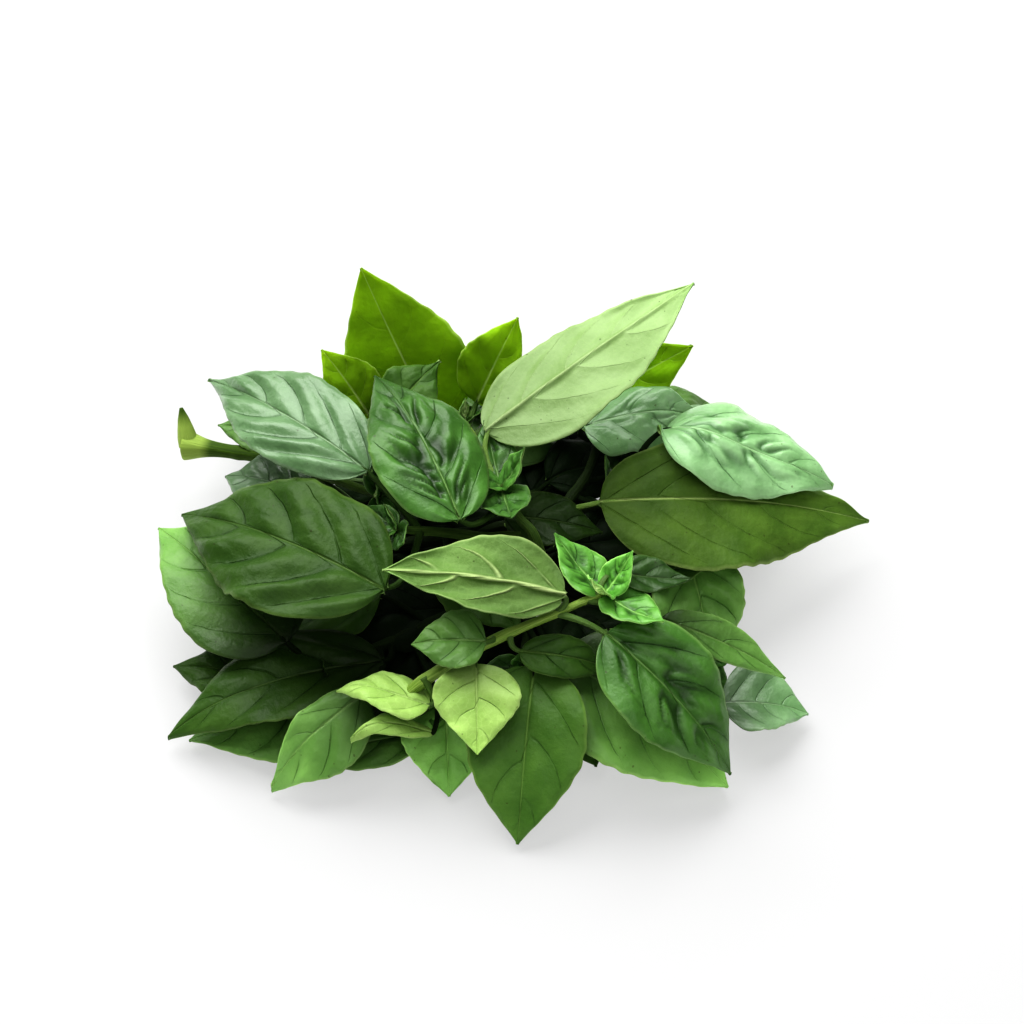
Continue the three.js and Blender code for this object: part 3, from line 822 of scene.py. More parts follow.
@dataclass
class FineBlade:
    """A leaf's blade with its full form, as a grid of points on its upper side."""

    blade: Blade

    # the blade's thickness and how its veins add to it
    SKIN = 0.32
    RIB = 0.95
    RIB_LEAST = 0.25
    RIB_TAPER = 0.75
    RIB_SPREAD = 0.65
    SIDE_VEIN = 0.38
    SIDE_VEIN_SPREAD = 0.5
    SIDE_VEIN_LEAN = 0.8
    VEINS_END = 0.97
    THICKEST = 1.5
    MOST_BELOW = 0.9

    # the form
    GROWN_WIDTH = 26
    PILLOW_RISE = 1.2
    POINT_POWER = 1.4
    HEM_ROLLS = (0.8, 1.0)
    HEM_FROM_BASE = (0.0, 0.15)
    TIP_CURLS = (0.7, 1.0)

    def shape(self, s: np.ndarray, t: np.ndarray) -> None:
        """Works out the blade's upper side and thickness at places of a grid.

        Args:
            s: Places along it, by row and column.
            t: Places across it, by row and column.
        """
        blade, shape, leaf = self.blade, self.blade.shape, self.blade.leaf
        self.s, self.t = s, t
        drawn_in = 1 - leaf.point * np.maximum(0, 2 * s - 1) ** self.POINT_POWER
        drawn_in = drawn_in * np.where(t < 0, leaf.sides[0], leaf.sides[1])
        self.half = blade.half_width(s) * drawn_in
        form = blade.plain_form(s, t * drawn_in) + np.array(leaf.nudge)
        small = min(1.0, leaf.width / self.GROWN_WIDTH)
        self.life = shape.life(s, t, leaf.spot or shape.spot)
        pillow = shape.pillow(s, t, leaf.lumps)
        rise = self.PILLOW_RISE * leaf.crinkle * small * self.life * pillow
        crumpled, crease_shade = shape.crumple(s, t)
        rise += leaf.creases * small * crumpled
        self.crease_shade = crease_shade * min(1.0, leaf.creases)
        rise += leaf.wave * small * shape.edge_wave(s, t)
        rolled = leaf.hem * small * smooth_step(abs(t), *self.HEM_ROLLS)
        rise -= rolled * smooth_step(s, *self.HEM_FROM_BASE)
        rise -= shape.curl * small * smooth_step(s, *self.TIP_CURLS)
        rise += self.SKIN / 2
        aside = shape.margin(s, t, self.half)
        self.points = form + blade.up * rise[..., None] + blade.side * aside[..., None]
        self.phase = shape.phase(s, t)
        off_rib = abs(t) * self.half
        off_vein = abs(self.phase - np.round(self.phase)) / shape.veins * blade.length
        off_vein = off_vein * self.SIDE_VEIN_LEAN
        rib = (self.RIB * small + self.RIB_LEAST) * (1 - self.RIB_TAPER * s)
        rib = rib * np.exp(-((off_rib / self.RIB_SPREAD) ** 2))
        side = self.SIDE_VEIN * small * np.exp(-((off_vein / self.SIDE_VEIN_SPREAD) ** 2))
        side = side * (1 - abs(t)) ** 0.5 * (s < self.VEINS_END)
        self.thick = np.minimum(self.SKIN + np.maximum(rib, side), self.THICKEST)

    def normals(self) -> np.ndarray:
        """The upper side's normals, of any length.

        Returns:
            A normal for each point of the grid.
        """
        down = np.gradient(self.points, axis=0)
        over = np.gradient(self.points, axis=1)
        return np.cross(over, down)

    def settle(self, pile: Pile) -> None:
        """Lifts places where the full form would still meet the pile, a little at a time.

        Args:
            pile: What lies below.
        """
        x, y = self.points[..., 0].ravel(), self.points[..., 1].ravel()
        top = pile.top(x, y, 1).reshape(self.s.shape)
        length = self.s * self.blade.length
        over = self.t * self.half
        under = self.blade.up[2] > 0
        share = upright_share(self.normals())
        below = np.minimum(self.thick, self.MOST_BELOW) * share if under else 0.0
        for _ in range(FINE_ROUNDS):
            lack = top + FINE_GAP + below - self.points[..., 2]
            k = np.unravel_index(np.argmax(lack), lack.shape)
            if lack[k] <= FINE_ENOUGH:
                return
            away = (length - length[k]) ** 2 + (over - over[k]) ** 2
            self.points[..., 2] += lack[k] * SETTLE_FACTOR * np.exp(-0.5 * away / FINE_KERNEL**2)

    def lay_on(self, pile: Pile) -> None:
        """Adds the full form to the pile.

        Args:
            pile: What the leaf then lies on top of.
        """
        share = upright_share(self.normals())
        above = np.zeros(share.shape) if self.blade.up[2] > 0 else self.thick * share
        patches = Patches(self.points, FINE_SAMPLES, FINE_SAMPLES)
        x, y, z = (patches.sample(self.points[..., k]) for k in range(3))
        pile.lift(x, y, z + patches.sample(above))


@dataclass(frozen=True)
class Detail:
    """How finely a leaf's grid is divided, along and across."""

    along: int
    across: int


FULL_DETAIL = Detail(80, 44)
SMALL_DETAIL = Detail(42, 26)
YOUNG_DETAIL = Detail(26, 18)


class LeafMesh:
    """Gathers a sprig's leaves in one bmesh, with what their materials read."""

    GROUP = "thickness"
    DIGITS = 5
    COLUMNS_AT_RIB = 0.6
    PATTERN_SPREAD = 30
    PATTERN_UNIT = 10
    CRISP_CRINKLE = 1.6
    FAINTEST_LINES = 0.2

    def __init__(self, looks: list[Look]) -> None:
        """Starts an empty mesh.

        Args:
            looks: The looks of its material slots, in order; each has a slot for either side.
        """
        self.bm = bmesh.new()
        self.looks = looks
        self.values: dict[str, list[np.ndarray]] = {"veins": [], "flesh": [], "own": []}
        self.thickness: list[np.ndarray] = []

    def add(self, blade: Blade, pile: Pile, detail: Detail) -> FineBlade:
        """Adds one leaf, clear of what lies below.

        Args:
            blade: The settled blade.
            pile: What it may not cross.
            detail: How finely it is divided.

        Returns:
            The leaf's full form.
        """
        made = bmesh.ops.create_grid(
            self.bm, x_segments=detail.across, y_segments=detail.along, size=1.0
        )
        verts = made["verts"]
        flat = np.array([v.co for v in verts])
        near = flat.round(self.DIGITS)
        order = np.lexsort((near[:, 0], near[:, 1]))
        columns = len(np.unique(near[:, 0]))
        u = flat[order, 0].reshape(-1, columns)
        v = flat[order, 1].reshape(-1, columns)
        t = u * (self.COLUMNS_AT_RIB + (1 - self.COLUMNS_AT_RIB) * u * u)
        s = (v + 1) / 2
        fine = FineBlade(blade)
        fine.shape(s, t)
        fine.settle(pile)
        back = np.argsort(order)
        points = (fine.points.reshape(-1, 3)[back] - MIDDLE) * MM
        for vert, point in zip(verts, points):
            vert.co = point
        faces = list({face for vert in verts for face in vert.link_faces})
        bmesh.ops.reverse_faces(self.bm, faces=faces)
        slot = 2 * self.looks.index(blade.leaf.look)
        for face in faces:
            face.material_index = slot
            face.smooth = True
        start = blade.random.uniform(0, self.PATTERN_SPREAD, 2)
        across = (t * fine.half).ravel()[back]
        along = (s * blade.length).ravel()[back]
        veins = [fine.phase.ravel()[back], t.ravel()[back], s.ravel()[back]]
        self.values["veins"].append(np.column_stack(veins))
        plane = [across / self.PATTERN_UNIT + start[0], along / self.PATTERN_UNIT + start[1]]
        self.values["flesh"].append(np.column_stack([*plane, abs(across)]))
        crisp = min(1.0, max(self.FAINTEST_LINES, blade.leaf.crinkle / self.CRISP_CRINKLE))
        lines = crisp * fine.life.ravel()[back]
        # The own attribute holds, per point, the leaf's lightness scale, which is partly painted
        # light and shade with a painted ramp from base to tip, how strongly its vein lines show,
        # and its crease mask.
        tone = blade.leaf.tone * np.interp(s.ravel()[back], (0, 1), blade.leaf.fade)
        self.values["own"].append(np.column_stack([tone, lines, fine.crease_shade.ravel()[back]]))
        self.thickness.append((fine.thick / FineBlade.THICKEST).ravel()[back])
        return fine

    def finish(self, name: str) -> bpy.types.Object:
        """Turns the gathered leaves into one object.

        Args:
            name: Its name.

        Returns:
            The object, with its thickness still live in a modifier.
        """
        layer = self.bm.verts.layers.deform.verify()
        for vert, weight in zip(self.bm.verts, np.concatenate(self.thickness)):
            vert[layer][0] = float(weight)
        mesh = bpy.data.meshes.new(name)
        self.bm.to_mesh(mesh)
        self.bm.free()
        for key, parts in self.values.items():
            attribute = mesh.attributes.new(key, "FLOAT_VECTOR", "POINT")
            attribute.data.foreach_set("vector", np.concatenate(parts).astype(np.float32).ravel())
        leaves = bpy.data.objects.new(name, mesh)
        bpy.context.scene.collection.objects.link(leaves)
        leaves.vertex_groups.new(name=self.GROUP)
        solidify = leaves.modifiers.new("Blade thickness", "SOLIDIFY")
        solidify.thickness = FineBlade.THICKEST * MM
        solidify.offset = -1.0
        solidify.vertex_group = self.GROUP
        solidify.material_offset = 1
        solidify.material_offset_rim = 0
        return leaves


class TubeMesh:
    """Gathers a sprig's stem and stalks in one bmesh."""

    AROUND = 16
    LOOK_AHEAD = 0.01
    GRAIN_UNIT = 10
    WELD = 0.004 * MM

    def __init__(self) -> None:
        """Starts an empty mesh."""
        self.bm = bmesh.new()
        self.values: list[np.ndarray] = []

    def add(self, line: Line, squareness: float, steps: int, slot: int) -> None:
        """Adds one tube along a line.

        Args:
            line: Its middle and its half widths.
            squareness: The power of its section's outline, 2 for round.
            steps: How many rings it has.
            slot: Its material slot.
        """
        made = bmesh.ops.create_grid(self.bm, x_segments=self.AROUND, y_segments=steps, size=1.0)
        verts = made["verts"]
        flat = np.array([v.co for v in verts])
        angle = (flat[:, 0] + 1) * math.pi
        place = (flat[:, 1] + 1) / 2
        middle = spline(line.points, place)
        ahead = spline(line.points, np.minimum(place + self.LOOK_AHEAD, 1))
        behind = spline(line.points, np.maximum(place - self.LOOK_AHEAD, 0))
        along = (ahead - behind) / np.linalg.norm(ahead - behind, axis=1)[:, None]
        side = np.cross([0, 0, 1], along)
        side /= np.linalg.norm(side, axis=1)[:, None]
        up = np.cross(along, side)
        radius = np.interp(place * (len(line.radii) - 1), range(len(line.radii)), line.radii)
        outline = abs(np.cos(angle)) ** squareness + abs(np.sin(angle)) ** squareness
        radius = radius * outline ** (-1 / squareness)
        points = middle + side * (radius * np.cos(angle))[:, None]
        points += up * (radius * np.sin(angle))[:, None]
        for vert, point in zip(verts, (points - MIDDLE) * MM):
            vert.co = point
        length = np.linalg.norm(np.diff(line.points, axis=0), axis=1).sum()
        grain = [np.cos(angle), np.sin(angle), place * length / self.GRAIN_UNIT]
        self.values.append(np.column_stack(grain))
        for face in {face for vert in verts for face in vert.link_faces}:
            face.material_index = slot
            face.smooth = True

    def finish(self, name: str) -> bpy.types.Object:
        """Closes the tubes and turns them into one object.

        Args:
            name: Its name.

        Returns:
            The object.
        """
        layer = self.bm.verts.layers.float_vector.new("grain")
        for vert, value in zip(self.bm.verts, np.concatenate(self.values)):
            vert[layer] = Vector(value)
        bmesh.ops.remove_doubles(self.bm, verts=self.bm.verts, dist=self.WELD)
        edges = [edge for edge in self.bm.edges if edge.is_boundary]
        bmesh.ops.holes_fill(self.bm, edges=edges, sides=0)
        bmesh.ops.recalc_face_normals(self.bm, faces=self.bm.faces)
        mesh = bpy.data.meshes.new(name)
        self.bm.to_mesh(mesh)
        self.bm.free()
        tubes = bpy.data.objects.new(name, mesh)
        bpy.context.scene.collection.objects.link(tubes)
        return tubes


class StemPart(Enum):
    """The material slots of a sprig's stems."""

    STEM = 0
    STALK = 1
    FAIR_STALK = 2


class StemLook(Enum):
    """How a sprig's stems are painted: in the light, in the light only at their cut end, half
    shaded or deep in the bunch's shade, as lit and shaded copies of the stem colours.
    """

    FAIR = "fair"
    CUT = "cut"
    DIM = "dim"
    SHADED = "shaded"


@dataclass
class Sprig:
    """One sprig: its stem, its leaves on their stalks and the tuft at its tip."""

    name: str
    slot: str
    stem: list[Point]
    half_width: float
    tuft: Tuft
    leaves: list[Leaf]
    lies: float = 0.0
    cut_node: CutNode | None = None
    stem_look: StemLook = StemLook.FAIR
    dip: float = 0.0

    STEM_SQUARE = 3.4
    STALK_ROUND = 2.4
    STEM_RINGS = 110
    STALK_RINGS = 26
    STUB_RINGS = 30
    FLARE_STEPS = 8
    DIP_ENDS = 0.4
    NODE_SWELL = 0.14
    NODE_LENGTH = 2.2
    CUT_LENGTH = 7.0
    CUT_FLARE_POWER = 1.6
    FULL_STUB_RADII = (2.9, 2.8, 2.3, 1.6, 0.5)

    # how a stalk runs into its blade
    ENTRY_AT = 0.03
    INSIDE_AT = 0.12
    ENTRY_DEPTH = 0.55
    INSIDE_DEPTH = 0.9
    ENTRY_RUN_IN = 1.0
    STALK_FULLER = 1.05
    ENTRY_FINER = 0.95
    INSIDE_R = 0.3

    def lay(self, pile: Pile, fine: Pile, seed: int) -> tuple[bpy.types.Object, bpy.types.Object]:
        """Lays the sprig over what lies below and models it.

        Args:
            pile: The plain pile, which decides where the sprig goes. The sprig is added to it.
            fine: The pile of full forms, likewise.
            seed: What its leaves' own shapes are drawn from.

        Returns:
            Its leaves and its stems.
        """
        self.blades: list[Blade] = []
        self.lines: list[Line] = []
        self.forms: list[FineBlade] = []
        self.leaf_mesh = LeafMesh(self.looks())
        self.tube_mesh = TubeMesh()
        stem = self.lay_stem(pile)
        own, own_fine = pile.copy(), fine.copy()
        for number, leaf in enumerate(self.leaves):
            self.lay_leaf(leaf, stem, pile, own, own_fine, seed + number)
        self.lay_tuft(stem, pile, fine, seed + len(self.leaves))
        if self.cut_node:
            self.add_stub(stem)
        for line in self.lines:
            line.lay_on(pile)
            line.lay_on(fine)
        for blade in self.blades:
            blade.lay_on(pile)
        for form in self.forms:
            form.lay_on(fine)
        leaves = self.leaf_mesh.finish(f"{self.name}_leaves")
        stems = self.tube_mesh.finish(f"{self.name}_stems")
        return leaves, stems

    def looks(self) -> list[Look]:
        """The looks of the sprig's leaves, each once, in a fixed order."""
        used = {leaf.look for leaf in self.leaves} | {self.tuft.look}
        return [look for look in Look if look in used]

    def lay_stem(self, pile: Pile) -> Line:
        """Lays the stem.

        Args:
            pile: What lies below.

        Returns:
            The settled stem.
        """
        steps = np.arange(STEM_STEPS + 1)
        points = spline(np.array(self.stem, float), steps / STEM_STEPS)
        taper = np.maximum(0, steps / STEM_STEPS - self.lies) / (1 - self.lies)
        radii = self.half_width * (1 + (STEM_TIP_SHARE - 1) * taper)
        if self.cut_node:
            radii[0] *= self.cut_node.flare
        stem = Line(points, radii)
        stem.settle(pile, STEM_KERNEL, np.ones_like)
        on_surface = steps < self.lies * STEM_STEPS
        stem.points[on_surface, 2] = radii[on_surface]
        self.lines.append(stem)
        flared = self.flared(stem)
        self.tube_mesh.add(flared, self.STEM_SQUARE, self.STEM_RINGS, StemPart.STEM.value)
        return stem

    def flared(self, stem: Line) -> Line:
        """The stem in small steps, swelling at a cut node and a little at each pair of leaves.

        Args:
            stem: The settled stem.

        Returns:
            A line that is only modelled, and not laid.
        """
        place = np.linspace(0, 1, self.FLARE_STEPS * STEM_STEPS + 1)
        points = spline(stem.points, place)
        points[:, 2] -= self.dip * np.maximum(0, 1 - place / self.DIP_ENDS) ** 2
        length = np.linalg.norm(np.diff(points, axis=0), axis=1).sum()
        plain = np.interp(place, [0, self.lies, 1], [1, 1, STEM_TIP_SHARE]) * self.half_width
        for node in {leaf.node for leaf in self.leaves}:
            off_node = (place - node) * length / self.NODE_LENGTH
            plain *= 1 + self.NODE_SWELL * np.exp(-(off_node**2))
        if self.cut_node:
            off_cut = place * length / self.CUT_LENGTH
            plain *= 1 + (self.cut_node.swell - 1) * np.exp(-(off_cut**self.CUT_FLARE_POWER))
        return Line(points, plain)

    def lay_leaf(
        self, leaf: Leaf, stem: Line, pile: Pile, own: Pile, own_fine: Pile, seed: int
    ) -> None:
        """Lays one leaf and its stalk.

        Args:
            leaf: The leaf.
            stem: The settled stem.
            pile: The plain pile without this sprig.
            own: The plain pile with this sprig's leaves so far.
            own_fine: The pile of full forms with this sprig's leaves so far.
            seed: What the leaf's own shape is drawn from.
        """
        small = leaf.width < SMALL_WIDTH
        rows, columns = (SMALL_ROWS, NARROW_COLUMNS) if small else (LEAF_ROWS, LEAF_COLUMNS)
        blade = Blade(leaf, rows, columns, seed)
        blade.settle(own)
        at = leaf.node * STEM_STEPS
        i = min(STEM_STEPS - 1, math.floor(at))
        root = stem.points[i] + (stem.points[i + 1] - stem.points[i]) * (at - i)
        stalk = self.stalk_line(root, blade)
        stalk.settle(pile, STALK_KERNEL, lambda s: np.minimum(1, STALK_FREEDOM * s * (1 - s)))
        # Leaves marked as shade fillers are dark leaves put low in the bunch to stand for its
        # shade; they stay out of the plain pile.
        if not leaf.shade_filler:
            blade.lay_on(own)
        detail = SMALL_DETAIL if small or leaf.look is Look.SHADED else FULL_DETAIL
        form = self.leaf_mesh.add(blade, own_fine, detail)
        form.lay_on(own_fine)
        self.forms.append(form)
        if not leaf.shade_filler:
            self.blades.append(blade)
            self.lines.append(stalk)
        # A stalk in the light takes the lighter copy of the stalk colour, as painted light.
        part = StemPart.FAIR_STALK if leaf.lit_stalk else StemPart.STALK
        full = self.stalk_into(stalk, form)
        self.tube_mesh.add(full, self.STALK_ROUND, self.STALK_RINGS, part.value)

    @staticmethod
    def stalk_line(root: np.ndarray, blade: Blade) -> Line:
        """The stalk's way from the stem to the blade, before it is bent clear.

        Args:
            root: Where it leaves the stem.
            blade: The settled blade.

        Returns:
            The stalk.
        """
        base, into = blade.root_point(), blade.root_way()
        reach = np.linalg.norm(root - base)
        outward = (base - root) * np.array([1, 1, 0]) * STALK_OUTWARD
        p = [
            root,
            root + outward,
            base - into * (STALK_RUN_IN * reach + STALK_STOPS),
            base - into * STALK_STOPS,
        ]
        f = np.arange(STALK_STEPS + 1)[:, None] / STALK_STEPS
        g = 1 - f
        points = p[0] * g**3 + p[1] * 3 * g**2 * f + p[2] * 3 * g * f**2 + p[3] * f**3
        radii = STALK_ROOT_R + (STALK_BLADE_R - STALK_ROOT_R) * f[:, 0]
        return Line(points, radii)

    @classmethod
    def stalk_into(cls, stalk: Line, form: FineBlade) -> Line:
        """The stalk carried on under the blade, so that it runs into the midrib.

        Args:
            stalk: The settled stalk.
            form: The blade's full form.

        Returns:
            The longer stalk.
        """
        middle = form.points.shape[1] // 2
        rows = form.points.shape[0]
        down = form.blade.up * -cls.ENTRY_DEPTH
        entry = form.points[round(rows * cls.ENTRY_AT), middle] + down
        inside = form.points[round(rows * cls.INSIDE_AT), middle] + down * cls.INSIDE_DEPTH
        run_in = form.blade.root_way() * (STALK_STOPS + cls.ENTRY_RUN_IN)
        moved = entry - run_in - stalk.points[-1]
        share = (np.arange(STALK_STEPS + 1) / STALK_STEPS)[:, None] ** 2
        points = np.vstack([stalk.points + moved * share, entry, inside])
        for _ in range(STALK_SMOOTHINGS):
            points[1:-2] = 0.25 * points[:-3] + 0.5 * points[1:-2] + 0.25 * points[2:-1]
        ends = [STALK_BLADE_R * cls.ENTRY_FINER, cls.INSIDE_R]
        return Line(points, np.concatenate([stalk.radii * cls.STALK_FULLER, ends]))

    def lay_tuft(self, stem: Line, pile: Pile, fine: Pile, seed: int) -> None:
        """Lays the tuft of young leaves.

        Args:
            stem: The settled stem.
            pile: The plain pile without this sprig.
            fine: The pile of full forms without this sprig.
            seed: What the young leaves' shapes are drawn from.
        """
        young = [self.young_leaf(stem, number) for number in range(2 * len(TUFT_PAIRS))]
        for number, leaf in enumerate(young):
            blade = Blade(leaf, YOUNG_ROWS, NARROW_COLUMNS, seed + number)
            blade.settle(pile)
            form = self.leaf_mesh.add(blade, fine, YOUNG_DETAIL)
            self.blades.append(blade)
            self.forms.append(form)

    def young_leaf(self, stem: Line, number: int) -> Leaf:
        """One leaf of the tuft.

        Args:
            stem: The settled stem.
            number: Which leaf, counted in pairs from the outside.

        Returns:
            The leaf.
        """
        end = stem.points[-1]
        stem_way = unit(end - stem.points[-2])
        top = np.array([0.0, 0.0, 1.0])
        along = unit(stem_way + (top - stem_way) * self.tuft.lean)
        side = unit(np.cross(top, stem_way))
        up = unit(np.cross(along, side))
        p, half = divmod(number, 2)
        pair = TUFT_PAIRS[p]
        around = math.radians(self.tuft.turn + 90 * p + 180 * half)
        opened = math.radians(pair.open)
        out = side * math.cos(around) + up * math.sin(around)
        way = along * math.cos(opened) + out * math.sin(opened)
        base = end + along * (TUFT_PAIR_RISE * p - TUFT_SET_BACK)
        tip = base + way * pair.length * self.tuft.size
        return Leaf(
            1.0,
            tuple(base),
            tuple(tip),
            pair.width * self.tuft.size,
            self.tuft.look,
            arch=-0.08,
            cup=0.25,
            crinkle=1.8,
            lumps=0.4,
            creases=0.9,
            tone=self.tuft.tone * YOUNGER_TONE**p,
            face=tuple(along),
        )

    def add_stub(self, stem: Line) -> None:
        """Adds what is left of a leaf stalk at the stem's cut end.

        Args:
            stem: The settled stem.
        """
        root = stem.points[0] + (stem.points[1] - stem.points[0]) * STUB_ROOT_AT
        tip = np.array(self.cut_node.stub)
        points = np.array([root, root + (tip - root) * STUB_WAIST_AT, tip])
        self.lines.append(Line(points, np.array(STUB_RADII)))
        full = spline(points, np.linspace(0, 1, len(self.FULL_STUB_RADII)))
        stub = Line(full, np.array(self.FULL_STUB_RADII))
        self.tube_mesh.add(stub, self.STALK_ROUND, self.STUB_RINGS, StemPart.STEM.value)


